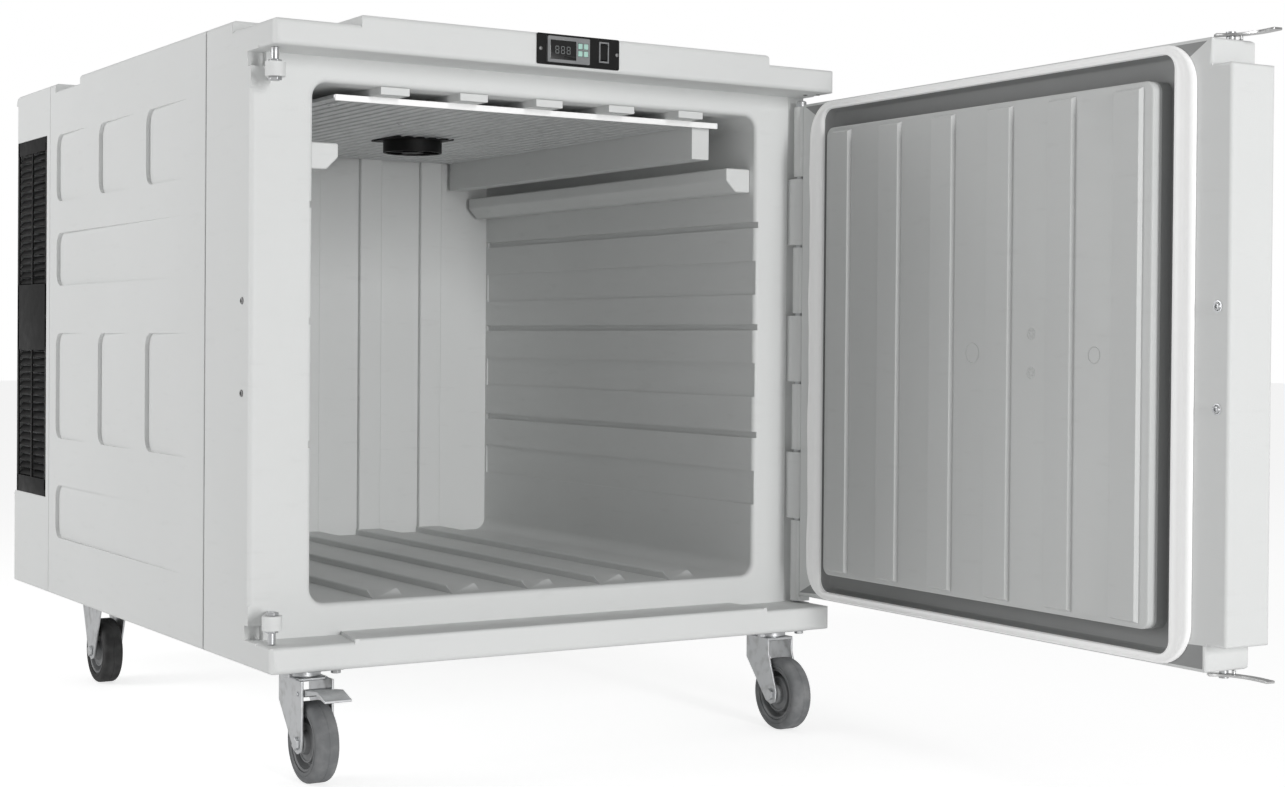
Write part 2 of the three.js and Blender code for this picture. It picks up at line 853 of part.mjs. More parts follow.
// A propeller of flat pitched blades on a hub, drawn along Z and returned about the origin.
function propeller(radius, hubRadius, height, bladeCount, bore) {
  const pitch = THREE.MathUtils.degToRad(32);
  const chord = height * 1.55;
  const blades = Array.from({ length: bladeCount }, (_, i) => {
    const blade = new THREE.BoxGeometry(radius - hubRadius + 2, 1.8, chord * 0.85);
    blade.rotateX(Math.PI / 2 - pitch);
    blade.translate((radius + hubRadius) / 2 - 1, 0, 0);
    blade.rotateZ((i * 2 * Math.PI) / bladeCount);
    return solid(blade);
  });
  const hub = rod("z", [0, 0, 0], hubRadius, -height / 2, height / 2, 24);
  return cut(join(hub, ...blades), rod("z", [0, 0, 0], bore, -height / 2 - 1, height / 2 - 3, 12));
}

const spindle = 3;
const fanTop = plateFoot - gap;
const fanFoot = fanTop - fanDepth;
const fanBore = fanSize / 2 - 8;

function fanHousing() {
  const middle = [fanX, fanY, 0];
  const flange = prism(
    "z",
    roundedRect([fanX - fanSize / 2, fanX + fanSize / 2], [fanY - fanSize / 2, fanY + fanSize / 2], 5),
    fanTop - 3,
    fanTop,
  );
  const drum = rod("z", middle, fanBore + 4, fanFoot, fanTop - 1, 24);
  const throat = rod("z", middle, fanBore, fanFoot - 1, fanTop + 1, 24);
  const strutDepth = [fanFoot, fanFoot + 3];
  const struts = [
    box([fanX - fanBore - 1, fanX + fanBore + 1], [fanY - 3, fanY + 3], strutDepth),
    box([fanX - 3, fanX + 3], [fanY - fanBore - 1, fanY + fanBore + 1], strutDepth),
  ];
  return join(
    cut(join(flange, drum), throat),
    ...struts,
    rod("z", middle, 21, fanFoot, fanFoot + 4, 24),
    rod("z", middle, spindle, fanFoot + 2, fanTop - 10, 12),
  );
}
add(carrier, "fan_housing", fanHousing(), finishes.black);
add(
  carrier,
  "fan_impeller",
  propeller(fanBore - 3, 19, 12, 5, spindle + gap).translate([fanX, fanY, fanTop - 12]),
  finishes.black,
);

// ---- castors ----
function wheelProfiles() {
  const w = wheelWidth / 2;
  const shoulder = 7;
  const tyre = [
    [rimRadius + gap, -w],
    [wheelRadius - shoulder, -w],
    [wheelRadius, -w + shoulder],
    [wheelRadius, w - shoulder],
    [wheelRadius - shoulder, w],
    [rimRadius + gap, w],
    [rimRadius + gap, -w],
  ];
  const bore = axleRadius + gap;
  const rim = [
    [bore, -forkGap + 1],
    [17, -forkGap + 1],
    [19, -w + 7],
    [rimRadius - 4, -w + 7],
    [rimRadius, -w + 2],
    [rimRadius, w - 2],
    [rimRadius - 4, w - 7],
    [19, w - 7],
    [17, forkGap - 1],
    [bore, forkGap - 1],
    [bore, -forkGap + 1],
  ];
  return { tyre, rim };
}
const wheel = wheelProfiles();
const legOuter = forkGap + forkThick;
const axleHead = 5;

function addWheel(prefix, x, y, tyreFinish) {
  const middle = [x, y, wheelRadius];
  add(carrier, `${prefix}_tyre`, turned("x", middle, wheel.tyre, 28), tyreFinish);
  add(carrier, `${prefix}_rim`, turned("x", middle, wheel.rim, 20), finishes.rim);
  const bolt = join(
    rod("x", middle, axleRadius, x - legOuter - axleHead, x + legOuter + axleHead, 16),
    rod("x", middle, 10.5, x - legOuter - axleHead, x - legOuter - gap, 6),
    rod("x", middle, 10.5, x + legOuter + gap, x + legOuter + axleHead, 6),
  );
  add(carrier, `${prefix}_axle`, bolt, finishes.zinc);
}

// Two legs of one outline in the YZ plane, with the hole for the axle.
function legs(x, outline, y) {
  const pair = join(
    prism("x", outline, x - legOuter, x - forkGap),
    prism("x", outline, x + forkGap, x + legOuter),
  );
  return { pair, hole: rod("x", [x, y, wheelRadius], axleRadius + gap, x - 60, x + 60, 16) };
}

const plateTopZ = bottom - gap;
const mountThick = 3;
const mountX = 105 / 2;
const mountY = 85 / 2;
const boltX = 40;
const boltY = 30;
const crownTop = plateTopZ - mountThick - 10;
const crownThick = 5;
const kingPin = 6;

function mountPlate(x, y, lengthY, radius) {
  const outline = roundedRect([x - mountX, x + mountX], [y - lengthY, y + lengthY], radius);
  const inY = lengthY - mountY + boltY;
  const bolts = [-1, 1].flatMap((i) =>
    [-1, 1].map((j) => hexNut([x + i * boltX, y + j * inY], 8, plateTopZ - mountThick - 6, plateTopZ - 1)),
  );
  return join(prism("z", outline, plateTopZ - mountThick, plateTopZ), ...bolts);
}

const pedalY = -40; // pedal's pivot, from the swivel axis
const pedalZ = wheelRadius * 2 + 13;
const pedalPin = 3;

function swivelCastor(prefix, x, hasBrake) {
  const y = frontCastorY;
  const wheelY = y - castorOffset;
  const underCrown = crownTop - crownThick;
  const head = join(
    mountPlate(x, y, mountY, 8),
    rod("z", [x, y, 0], 26, crownTop + gap, plateTopZ - 1, 20),
    rod("z", [x, y, 0], kingPin, underCrown - 4, plateTopZ - 1, 16),
    rod("z", [x, y, 0], 11, underCrown - 4, underCrown - gap, 16),
  );
  add(carrier, `${prefix}_plate`, head, finishes.zinc);
  const frontTop = hasBrake ? y - 54 : y - 30;
  const outline = [
    [y + 36, crownTop - 1],
    [y + 36, crownTop - 40],
    [wheelY + 14, wheelRadius - 12],
    [wheelY, wheelRadius - 17],
    [wheelY - 14, wheelRadius - 12],
    [wheelY - 16, wheelRadius + 6],
    [frontTop, hasBrake ? crownTop - 34 : crownTop - 26],
    [frontTop, crownTop - 1],
  ];
  const { pair, hole } = legs(x, outline, wheelY);
  const crown = box([x - legOuter, x + legOuter], [y - 30, y + 36], [underCrown, crownTop]);
  const pinHole = rod("z", [x, y, 0], kingPin + gap, underCrown - 1, crownTop + 1, 16);
  let fork = cut(join(pair, crown), hole, pinHole);
  if (hasBrake) fork = cut(fork, rod("x", [x, y + pedalY, pedalZ], pedalPin + gap, x - 60, x + 60, 12));
  add(carrier, `${prefix}_fork`, fork, finishes.zinc);
  addWheel(prefix, x, wheelY, finishes.rubber);
}

function brakePedal(prefix, x) {
  const y = frontCastorY + pedalY;
  const inner = forkGap - 1;
  const tread = [
    [y - 2, pedalZ - 5],
    [y - 2, pedalZ + 5],
    [y - 60, pedalZ + 12],
    [y - 92, pedalZ + 2],
    [y - 92, pedalZ - 2],
    [y - 58, pedalZ + 6],
  ];
  add(
    carrier,
    `${prefix}_pedal`,
    join(
      rod("x", [x, y, pedalZ], 6, x - inner, x + inner, 16),
      rod("x", [x, y, pedalZ], pedalPin, x - legOuter - 2, x + legOuter + 2, 12),
      prism("x", tread, x - inner, x + inner),
    ),
    finishes.zinc,
  );
}

function fixedCastor(prefix, x, tyreFinish) {
  const y = rearCastorY;
  const reach = 60;
  const underPlate = plateTopZ - mountThick;
  const outline = [
    [y + reach, underPlate + 1],
    [y + reach, underPlate - 12],
    [y + 15, wheelRadius - 12],
    [y, wheelRadius - 17],
    [y - 15, wheelRadius - 12],
    [y - reach, underPlate - 12],
    [y - reach, underPlate + 1],
  ];
  const { pair, hole } = legs(x, outline, y);
  add(carrier, `${prefix}_bracket`, cut(join(mountPlate(x, y, reach + 4, 8), pair), hole), finishes.zinc);
  addWheel(prefix, x, y, tyreFinish);
}

const frontCastorX = half - frontCastorInset;
const rearCastorX = half - rearCastorInset;
swivelCastor("castor_front_left", -frontCastorX, true);
brakePedal("castor_front_left", -frontCastorX);
swivelCastor("castor_front_right", frontCastorX, false);
fixedCastor("castor_rear_left", -rearCastorX, finishes.darkRubber);
fixedCastor("castor_rear_right", rearCastorX, finishes.darkRubber);

// ---- cooling unit in the rear compartment ----
const unitFloor = bottom + coverWall + gap;
const unitMiddle = (mainDepth + coverBack) / 2;

const compressorX = -120;
const compressorRadius = 78;
const compressorBase = [190, 140];
const compressorProfile = [
  [0, 0],
  [70, 0],
  [compressorRadius, 12],
  [compressorRadius, 120],
  [66, 150],
  [40, 166],
  [0, 172],
];
add(
  carrier,
  "compressor",
  join(
    turned("z", [compressorX, unitMiddle, unitFloor + 12], compressorProfile, 24),
    box(
      grown([compressorX, compressorX], compressorBase[0] / 2),
      grown([unitMiddle, unitMiddle], compressorBase[1] / 2),
      [unitFloor, unitFloor + 14],
    ),
  ),
  finishes.black,
);

const coilX = -half + coverWall + 26; // condenser, behind the left grille
const coilThick = 44;
const coilHalf = 92;
const coilZ = [unitFloor, top - 110];
const coilFanZ = coilZ[1] - 130;
add(
  carrier,
  "condenser",
  box([coilX, coilX + coilThick], [unitMiddle - coilHalf, unitMiddle + coilHalf], coilZ),
  finishes.aluminium,
);

const shroudX = coilX + coilThick + gap;
const shroudBore = 80;
const shroudDepth = 34;
const shroudMiddle = [shroudX, unitMiddle, coilFanZ];
const shroudHalfHeight = 100;
add(
  carrier,
  "condenser_shroud",
  join(
    cut(
      box(
        [shroudX, shroudX + shroudDepth],
        [unitMiddle - coilHalf, unitMiddle + coilHalf],
        [coilFanZ - shroudHalfHeight, coilFanZ + shroudHalfHeight],
      ),
      rod("x", shroudMiddle, shroudBore, shroudX - 1, shroudX + shroudDepth + 1, 32),
    ),
    box(
      [shroudX + shroudDepth - 4, shroudX + shroudDepth],
      [unitMiddle - shroudBore - 2, unitMiddle + shroudBore + 2],
      [coilFanZ - 6, coilFanZ + 6],
    ),
    rod("x", shroudMiddle, 28, shroudX + shroudDepth - 4, shroudX + shroudDepth + 20, 24),
    rod("x", shroudMiddle, spindle, shroudX + 13, shroudX + shroudDepth, 12),
  ),
  finishes.black,
);
add(
  carrier,
  "condenser_impeller",
  propeller(shroudBore - 5, 24, 16, 5, spindle + gap)
    .rotate([0, -90, 0])
    .translate([shroudX + 17, unitMiddle, coilFanZ]),
  finishes.black,
);

const electricalX = [210, 400];
const electricalDepth = 90;
const electricalRise = [520, 760]; // above the underside of the body
add(
  carrier,
  "electrical_box",
  box(
    electricalX,
    [mainDepth + gap, mainDepth + electricalDepth],
    electricalRise.map((z) => bottom + z),
  ),
  finishes.bezel,
);

// ---- the origin goes on the floor, under the middle of the whole ----
carrier.updateMatrixWorld(true);
const bounds = new THREE.Box3();
carrier.traverse((o) => {
  if (o.isMesh) bounds.expandByObject(o, true);
});
const middle = bounds.getCenter(new THREE.Vector3());
carrier.position.set(-middle.x, -middle.y, -bounds.min.z);

export default carrier;
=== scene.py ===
import bpy
import bmesh
import json
import math
from mathutils import Matrix, Vector

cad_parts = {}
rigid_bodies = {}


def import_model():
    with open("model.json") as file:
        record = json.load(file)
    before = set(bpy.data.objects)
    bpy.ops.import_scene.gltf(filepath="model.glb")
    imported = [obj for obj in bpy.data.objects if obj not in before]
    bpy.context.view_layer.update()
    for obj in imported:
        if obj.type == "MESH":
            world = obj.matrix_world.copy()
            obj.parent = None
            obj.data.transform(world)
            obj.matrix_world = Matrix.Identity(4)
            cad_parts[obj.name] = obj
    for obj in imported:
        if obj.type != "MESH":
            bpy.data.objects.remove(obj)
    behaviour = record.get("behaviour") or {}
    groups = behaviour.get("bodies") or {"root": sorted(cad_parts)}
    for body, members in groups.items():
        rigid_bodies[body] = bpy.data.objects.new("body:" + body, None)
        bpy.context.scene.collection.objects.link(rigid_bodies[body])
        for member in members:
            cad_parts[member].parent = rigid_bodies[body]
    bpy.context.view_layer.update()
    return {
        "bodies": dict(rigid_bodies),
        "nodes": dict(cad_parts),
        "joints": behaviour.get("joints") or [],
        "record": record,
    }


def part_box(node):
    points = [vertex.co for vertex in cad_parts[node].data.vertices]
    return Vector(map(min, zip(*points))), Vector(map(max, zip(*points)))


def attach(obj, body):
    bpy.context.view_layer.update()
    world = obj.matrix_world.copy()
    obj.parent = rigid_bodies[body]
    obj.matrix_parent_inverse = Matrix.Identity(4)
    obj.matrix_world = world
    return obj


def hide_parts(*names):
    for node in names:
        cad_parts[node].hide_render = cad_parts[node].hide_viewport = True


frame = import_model()
print("frame loaded")

scene = bpy.context.scene
nodes = frame["nodes"]
jointNamed = {joint["name"]: joint for joint in frame["joints"]}

# places that everything else is set from
shellLow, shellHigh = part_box("outer_shell")
frontLow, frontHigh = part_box("front_frame")
middleX = (shellLow.x + shellHigh.x) / 2
overhang = 92.6  # how far the brow stands before the front face, in millimetres
faceY = frontLow.y + overhang / 1000
hingeSpot = Vector(jointNamed["door_hinge"]["pos_m"])
doorAngle = -math.radians(jointNamed["door_hinge"]["range_deg"][0])


# a spot in millimetres from the middle of the front face at floor level
def at(x, y, z):
    return Vector((middleX + x / 1000, faceY + y / 1000, z / 1000))


def deselectAll():
    if bpy.context.mode != "OBJECT":
        bpy.ops.object.mode_set(mode="OBJECT")
    bpy.ops.object.select_all(action="DESELECT")


def makeActive(piece):
    deselectAll()
    piece.select_set(True)
    bpy.context.view_layer.objects.active = piece


def applyPlace(piece):
    makeActive(piece)
    bpy.ops.object.transform_apply(location=True, rotation=True, scale=True)
    return piece


def applyModifiers(piece):
    makeActive(piece)
    for modifier in list(piece.modifiers):
        bpy.ops.object.modifier_apply(modifier=modifier.name)
    return piece


def smooth(piece, angle=35):
    makeActive(piece)
    bpy.ops.object.shade_smooth_by_angle(angle=math.radians(angle))
    return piece


def joined(name, pieces):
    deselectAll()
    for piece in pieces:
        piece.select_set(True)
    bpy.context.view_layer.objects.active = pieces[0]
    bpy.ops.object.join()
    whole = bpy.context.view_layer.objects.active
    whole.name = name
    return whole


def swing(piece, angle):
    turn = Matrix.Rotation(angle, 4, "Z")
    piece.data.transform(Matrix.Translation(hingeSpot) @ turn @ Matrix.Translation(-hingeSpot))


# turns a piece drawn on the shut door to where the open door stands
def onDoor(piece):
    swing(piece, doorAngle)
    return piece


def dress(piece, material):
    piece.data.materials.clear()
    piece.data.materials.append(material)


def finishPiece(piece, material, body, slot, *replaced):
    dress(piece, material)
    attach(piece, body)
    if replaced:
        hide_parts(*replaced)
    return piece


def block(name, low, high, bevel=0.0, segments=3):
    middle = (Vector(low) + Vector(high)) / 2
    size = Vector(high) - Vector(low)
    deselectAll()
    bpy.ops.mesh.primitive_cube_add(size=1, location=middle)
    piece = bpy.context.active_object
    piece.name = name
    piece.scale = size
    applyPlace(piece)
    if bevel:
        rounded = piece.modifiers.new("round", "BEVEL")
        rounded.width = bevel
        rounded.segments = segments
        applyModifiers(piece)
    return smooth(piece)


def bar(name, start, end, radius, sides=24, bevel=0.0, segments=2):
    start, end = Vector(start), Vector(end)
    along = end - start
    deselectAll()
    bpy.ops.mesh.primitive_cylinder_add(
        vertices=sides,
        radius=radius,
        depth=along.length,
        location=(start + end) / 2,
        rotation=along.to_track_quat("Z", "Y").to_euler(),
    )
    piece = bpy.context.active_object
    piece.name = name
    applyPlace(piece)
    if bevel:
        rounded = piece.modifiers.new("round", "BEVEL")
        rounded.width = bevel
        rounded.segments = segments
        rounded.limit_method = "ANGLE"
        rounded.angle_limit = math.radians(50)
        applyModifiers(piece)
    return smooth(piece)


# a profile of (radius, height) points spun about an axis through a spot
def spun(name, spot, axis, profile, steps=40, closed=False):
    mesh = bpy.data.meshes.new(name)
    points = [(r, 0, h) for r, h in profile]
    edges = [(i, i + 1) for i in range(len(points) - 1)]
    if closed:
        edges.append((len(points) - 1, 0))
    mesh.from_pydata(points, edges, [])
    piece = bpy.data.objects.new(name, mesh)
    scene.collection.objects.link(piece)
    makeActive(piece)
    bpy.ops.object.mode_set(mode="EDIT")
    bpy.ops.mesh.select_all(action="SELECT")
    bpy.ops.mesh.spin(steps=steps, angle=2 * math.pi, center=(0, 0, 0), axis=(0, 0, 1))
    bpy.ops.mesh.select_all(action="SELECT")
    bpy.ops.mesh.remove_doubles(threshold=0.00001)
    bpy.ops.mesh.normals_make_consistent(inside=False)
    bpy.ops.object.mode_set(mode="OBJECT")
    turn = Vector(axis).to_track_quat("Z", "Y").to_matrix().to_4x4()
    mesh.transform(Matrix.Translation(Vector(spot)) @ turn)
    return smooth(piece)


# how far an edge may be rounded before it meets the far side of a face beside it
def roomBeside(edge):
    a, b = edge.verts[0].co, edge.verts[1].co
    along = (b - a).normalized()
    rooms = []
    for face in edge.link_faces:
        away = [((v.co - a) - along * (v.co - a).dot(along)).length for v in face.verts]
        rooms.append(max(away))
    return min(rooms) if rooms else 0


# a merged copy of a CAD piece, which may be worked on
def copyOf(name, source):
    copy = nodes[source].copy()
    copy.data = nodes[source].data.copy()
    for key in list(copy.keys()):
        del copy[key]
    copy.parent = None
    scene.collection.objects.link(copy)
    copy.name = name
    makeActive(copy)
    bpy.ops.object.mode_set(mode="EDIT")
    bpy.ops.mesh.customdata_custom_splitnormals_clear()
    bpy.ops.mesh.select_all(action="SELECT")
    bpy.ops.mesh.remove_doubles(threshold=0.00002)
    bpy.ops.object.mode_set(mode="OBJECT")
    return copy


def evenShade(piece, angle=32):
    smooth(piece, angle)
    even = piece.modifiers.new("even", "WEIGHTED_NORMAL")
    even.keep_sharp = True
    return applyModifiers(piece)


# a small CAD piece copied, its flat faces made whole and its edges rounded
def softened(name, source, radius=0.004, small=0.0015, longEdge=0.06, segments=3, share=0.36):
    piece = copyOf(name, source)
    bpy.ops.object.mode_set(mode="EDIT")
    bpy.ops.mesh.select_all(action="SELECT")
    bpy.ops.mesh.dissolve_limited(angle_limit=math.radians(0.6))
    bpy.ops.object.mode_set(mode="OBJECT")
    shape = bmesh.new()
    shape.from_mesh(piece.data)
    weight = shape.edges.layers.float.new("bevel_weight_edge")
    for edge in shape.edges:
        if len(edge.link_faces) != 2 or edge.calc_face_angle(0) < math.radians(28):
            continue
        wanted = radius if edge.calc_length() > longEdge else small
        edge[weight] = min(wanted, roomBeside(edge) * share) / radius
    shape.to_mesh(piece.data)
    shape.free()
    rounded = piece.modifiers.new("round", "BEVEL")
    rounded.limit_method = "WEIGHT"
    rounded.width = radius
    rounded.segments = segments
    rounded.use_clamp_overlap = False
    applyModifiers(piece)
    return evenShade(piece, 38)


def newGroup(name, inputs, outputs):
    group = bpy.data.node_groups.new(name, "ShaderNodeTree")
    for socketName, kind, value in inputs:
        socket = group.interface.new_socket(socketName, in_out="INPUT", socket_type=kind)
        socket.default_value = value
    for socketName, kind in outputs:
        group.interface.new_socket(socketName, in_out="OUTPUT", socket_type=kind)
    start = group.nodes.new("NodeGroupInput")
    end = group.nodes.new("NodeGroupOutput")
    return group, start, end


def mathNode(tree, operation, first, second, clamp=False):
    node = tree.nodes.new("ShaderNodeMath")
    node.operation = operation
    node.use_clamp = clamp
    for i, value in enumerate((first, second)):
        if isinstance(value, (int, float)):
            node.inputs[i].default_value = value
        else:
            tree.links.new(value, node.inputs[i])
    return node.outputs[0]


def mixColours(tree, amount, first, second):
    node = tree.nodes.new("ShaderNodeMix")
    node.data_type = "RGBA"
    if isinstance(amount, (int, float)):
        node.inputs[0].default_value = amount
    else:
        tree.links.new(amount, node.inputs[0])
    for i, value in ((6, first), (7, second)):
        if isinstance(value, (tuple, list)):
            node.inputs[i].default_value = value
        else:
            tree.links.new(value, node.inputs[i])
    return node.outputs[2]


def noiseAt(tree, coordinates, scale, detail=3, stretch=None):
    if stretch:
        mapping = tree.nodes.new("ShaderNodeMapping")
        mapping.inputs["Scale"].default_value = stretch
        tree.links.new(coordinates, mapping.inputs["Vector"])
        coordinates = mapping.outputs[0]
    noise = tree.nodes.new("ShaderNodeTexNoise")
    noise.inputs["Scale"].default_value = scale
    noise.inputs["Detail"].default_value = detail
    tree.links.new(coordinates, noise.inputs["Vector"])
    return noise.outputs["Fac"]


def spread(tree, value, low, high, toLow=0.0, toHigh=1.0):
    node = tree.nodes.new("ShaderNodeMapRange")
    node.inputs["From Min"].default_value = low
    node.inputs["From Max"].default_value = high
    node.inputs["To Min"].default_value = toLow
    node.inputs["To Max"].default_value = toHigh
    tree.links.new(value, node.inputs["Value"])
    return node.outputs[0]


# fine pebbled grain of moulded plastic, its cloudy tone and a few rubbed marks
def buildMouldGroup():
    tree, start, end = newGroup(
        "mouldedSkin",
        [
            ("Colour", "NodeSocketColor", (0.8, 0.8, 0.8, 1)),
            ("Grain Scale", "NodeSocketFloat", 900.0),
            ("Clouds", "NodeSocketFloat", 0.05),
            ("Marks", "NodeSocketFloat", 0.1),
            ("Roughness", "NodeSocketFloat", 0.6),
        ],
        [("Colour", "NodeSocketColor"), ("Roughness", "NodeSocketFloat"), ("Height", "NodeSocketFloat")],
    )
    where = tree.nodes.new("ShaderNodeTexCoord").outputs["Object"]
    clouds = noiseAt(tree, where, 2.6, 5)
    fine = tree.nodes.new("ShaderNodeTexNoise")
    fine.inputs["Detail"].default_value = 2
    tree.links.new(where, fine.inputs["Vector"])
    tree.links.new(start.outputs["Grain Scale"], fine.inputs["Scale"])
    streaks = noiseAt(tree, where, 14, 6, (1, 1, 5))
    marks = spread(tree, streaks, 0.62, 0.72)
    darker = mixColours(tree, 0.5, start.outputs["Colour"], (0.45, 0.45, 0.44, 1))
    cloudAmount = mathNode(tree, "MULTIPLY", spread(tree, clouds, 0.35, 0.7), start.outputs["Clouds"])
    toned = mixColours(tree, cloudAmount, start.outputs["Colour"], darker)
    markAmount = mathNode(tree, "MULTIPLY", marks, start.outputs["Marks"])
    tree.links.new(mixColours(tree, markAmount, toned, (0.42, 0.42, 0.41, 1)), end.inputs["Colour"])
    rough = mathNode(tree, "ADD", start.outputs["Roughness"], spread(tree, streaks, 0.3, 0.7, -0.06, 0.08))
    tree.links.new(rough, end.inputs["Roughness"])
    tree.links.new(fine.outputs["Fac"], end.inputs["Height"])
    return tree


# brushed or plated metal: drawn lines, dull patches and small dark stains
def buildMetalGroup():
    tree, start, end = newGroup(
        "workedMetal",
        [
            ("Colour", "NodeSocketColor", (0.7, 0.7, 0.7, 1)),
            ("Stain", "NodeSocketColor", (0.3, 0.3, 0.28, 1)),
            ("Stains", "NodeSocketFloat", 0.3),
            ("Roughness", "NodeSocketFloat", 0.35),
        ],
        [("Colour", "NodeSocketColor"), ("Roughness", "NodeSocketFloat"), ("Height", "NodeSocketFloat")],
    )
    where = tree.nodes.new("ShaderNodeTexCoord").outputs["Object"]
    lines = noiseAt(tree, where, 60, 4, (12, 12, 1))
    patches = noiseAt(tree, where, 55, 4)
    amount = mathNode(tree, "MULTIPLY", spread(tree, patches, 0.5, 0.75), start.outputs["Stains"])
    stained = mixColours(tree, amount, start.outputs["Colour"], start.outputs["Stain"])
    tree.links.new(stained, end.inputs["Colour"])
    wave = spread(tree, patches, 0.3, 0.7, -0.08, 0.16)
    tree.links.new(mathNode(tree, "ADD", start.outputs["Roughness"], wave), end.inputs["Roughness"])
    tree.links.new(lines, end.inputs["Height"])
    return tree


# rubber or dark plastic: fine grain with dust that lies in patches
def buildDustyGroup():
    tree, start, end = newGroup(
        "dustySkin",
        [
            ("Colour", "NodeSocketColor", (0.05, 0.05, 0.05, 1)),
            ("Dust", "NodeSocketColor", (0.4, 0.39, 0.37, 1)),
            ("Dustiness", "NodeSocketFloat", 0.25),
            ("Grain Scale", "NodeSocketFloat", 700.0),
            ("Roughness", "NodeSocketFloat", 0.7),
        ],
        [("Colour", "NodeSocketColor"), ("Roughness", "NodeSocketFloat"), ("Height", "NodeSocketFloat")],
    )
    where = tree.nodes.new("ShaderNodeTexCoord").outputs["Object"]
    patches = noiseAt(tree, where, 38, 6)
    grain = tree.nodes.new("ShaderNodeTexNoise")
    grain.inputs["Detail"].default_value = 2
    tree.links.new(where, grain.inputs["Vector"])
    tree.links.new(start.outputs["Grain Scale"], grain.inputs["Scale"])
    amount = mathNode(tree, "MULTIPLY", spread(tree, patches, 0.42, 0.7), start.outputs["Dustiness"])
    dusted = mixColours(tree, amount, start.outputs["Colour"], start.outputs["Dust"])
    tree.links.new(dusted, end.inputs["Colour"])
    rough = mathNode(tree, "ADD", start.outputs["Roughness"], spread(tree, patches, 0.3, 0.7, -0.05, 0.1))
    tree.links.new(rough, end.inputs["Roughness"])
    tree.links.new(grain.outputs["Fac"], end.inputs["Height"])
    return tree


mouldGroup = buildMouldGroup()
metalGroup = buildMetalGroup()
dustyGroup = buildDustyGroup()


def material(name, group, values, bump, distance, **shaderValues):
    made = bpy.data.materials.new(name)
    made.use_nodes = True
    tree = made.node_tree
    shader = tree.nodes["Principled BSDF"]
    skin = tree.nodes.new("ShaderNodeGroup")
    skin.node_tree = group
    for key, value in values.items():
        skin.inputs[key].default_value = value
    tree.links.new(skin.outputs["Colour"], shader.inputs["Base Color"])
    tree.links.new(skin.outputs["Roughness"], shader.inputs["Roughness"])
    raised = tree.nodes.new("ShaderNodeBump")
    raised.inputs["Strength"].default_value = bump
    raised.inputs["Distance"].default_value = distance
    tree.links.new(skin.outputs["Height"], raised.inputs["Height"])
    tree.links.new(raised.outputs["Normal"], shader.inputs["Normal"])
    for key, value in shaderValues.items():
        shader.inputs[key.replace("_", " ")].default_value = value
    return made


def rgba(r, g=None, b=None):
    return (r, r if g is None else g, r if b is None else b, 1)


shellPlastic = material(
    "shellPlastic",
    mouldGroup,
    {
        "Colour": rgba(0.74, 0.75, 0.745),
        "Grain Scale": 700,
        "Clouds": 0.12, "Marks": 0.05, "Roughness": 0.62,
    },
    0.35,
    0.0006,
)
linerPlastic = material(
    "linerPlastic",
    mouldGroup,
    {
        "Colour": rgba(0.73, 0.74, 0.735),
        "Grain Scale": 500,
        "Clouds": 0.15, "Marks": 0.07, "Roughness": 0.55,
    },
    0.3,
    0.0006,
)
doorPlastic = material(
    "doorPlastic",
    mouldGroup,
    {
        "Colour": rgba(0.62, 0.63, 0.625),
        "Grain Scale": 500,
        "Clouds": 0.15, "Marks": 0.08, "Roughness": 0.55,
    },
    0.3,
    0.0006,
)
# a darker plastic for the door's sunk channel: painted shade standing in for the shadow there
channelShadePaint = material(
    "channelShadePaint",
    mouldGroup,
    {
        "Colour": rgba(0.3, 0.305, 0.305),
        "Grain Scale": 500,
        "Clouds": 0.15, "Marks": 0.05, "Roughness": 0.6,
    },
    0.3,
    0.0006,
)
# white seal rubber with a faint glow: painted light that makes it brighter than the lamps alone would
glowingSealRubber = material(
    "glowingSealRubber",
    mouldGroup,
    {
        "Colour": rgba(0.94, 0.94, 0.935),
        "Grain Scale": 300,
        "Clouds": 0.03, "Marks": 0.02, "Roughness": 0.4,
    },
    0.1,
    0.0004,
    Emission_Color=rgba(1.0),
    Emission_Strength=0.12,
)
foamCore = material(
    "foamCore",
    mouldGroup,
    {
        "Colour": rgba(0.8, 0.74, 0.55),
        "Grain Scale": 900,
        "Clouds": 0.2, "Marks": 0.0, "Roughness": 0.9,
    },
    0.7,
    0.001,
)
blackPlastic = material(
    "blackPlastic",
    dustyGroup,
    {
        "Colour": rgba(0.004),
        "Dust": rgba(0.03), "Dustiness": 0.1,
        "Grain Scale": 900, "Roughness": 0.5,
    },
    0.2,
    0.0003,
    Specular_IOR_Level=0.25,
)
greyPlastic = material(
    "greyPlastic",
    dustyGroup,
    {"Colour": rgba(0.22, 0.225, 0.23), "Dust": rgba(0.4), "Dustiness": 0.15, "Roughness": 0.4},
    0.15,
    0.0002,
)
screenPlastic = material(
    "screenPlastic",
    dustyGroup,
    {"Colour": rgba(0.006), "Dust": rgba(0.05), "Dustiness": 0.1, "Roughness": 0.12},
    0.02,
    0.0001,
    Coat_Weight=0.6,
)
mintPlastic = material(
    "mintPlastic",
    dustyGroup,
    {"Colour": rgba(0.42, 0.66, 0.58), "Dust": rgba(0.5), "Dustiness": 0.1, "Roughness": 0.45},
    0.1,
    0.0002,
)
digitPlastic = material(
    "digitPlastic",
    dustyGroup,
    {"Colour": rgba(0.16, 0.17, 0.17), "Dust": rgba(0.2), "Dustiness": 0.1, "Roughness": 0.4},
    0.05,
    0.0001,
)
zincPlate = material(
    "zincPlate",
    metalGroup,
    {"Colour": rgba(0.62, 0.63, 0.64), "Stain": rgba(0.32, 0.31, 0.29), "Stains": 0.45, "Roughness": 0.36},
    0.12,
    0.0003,
    Metallic=0.92,
)
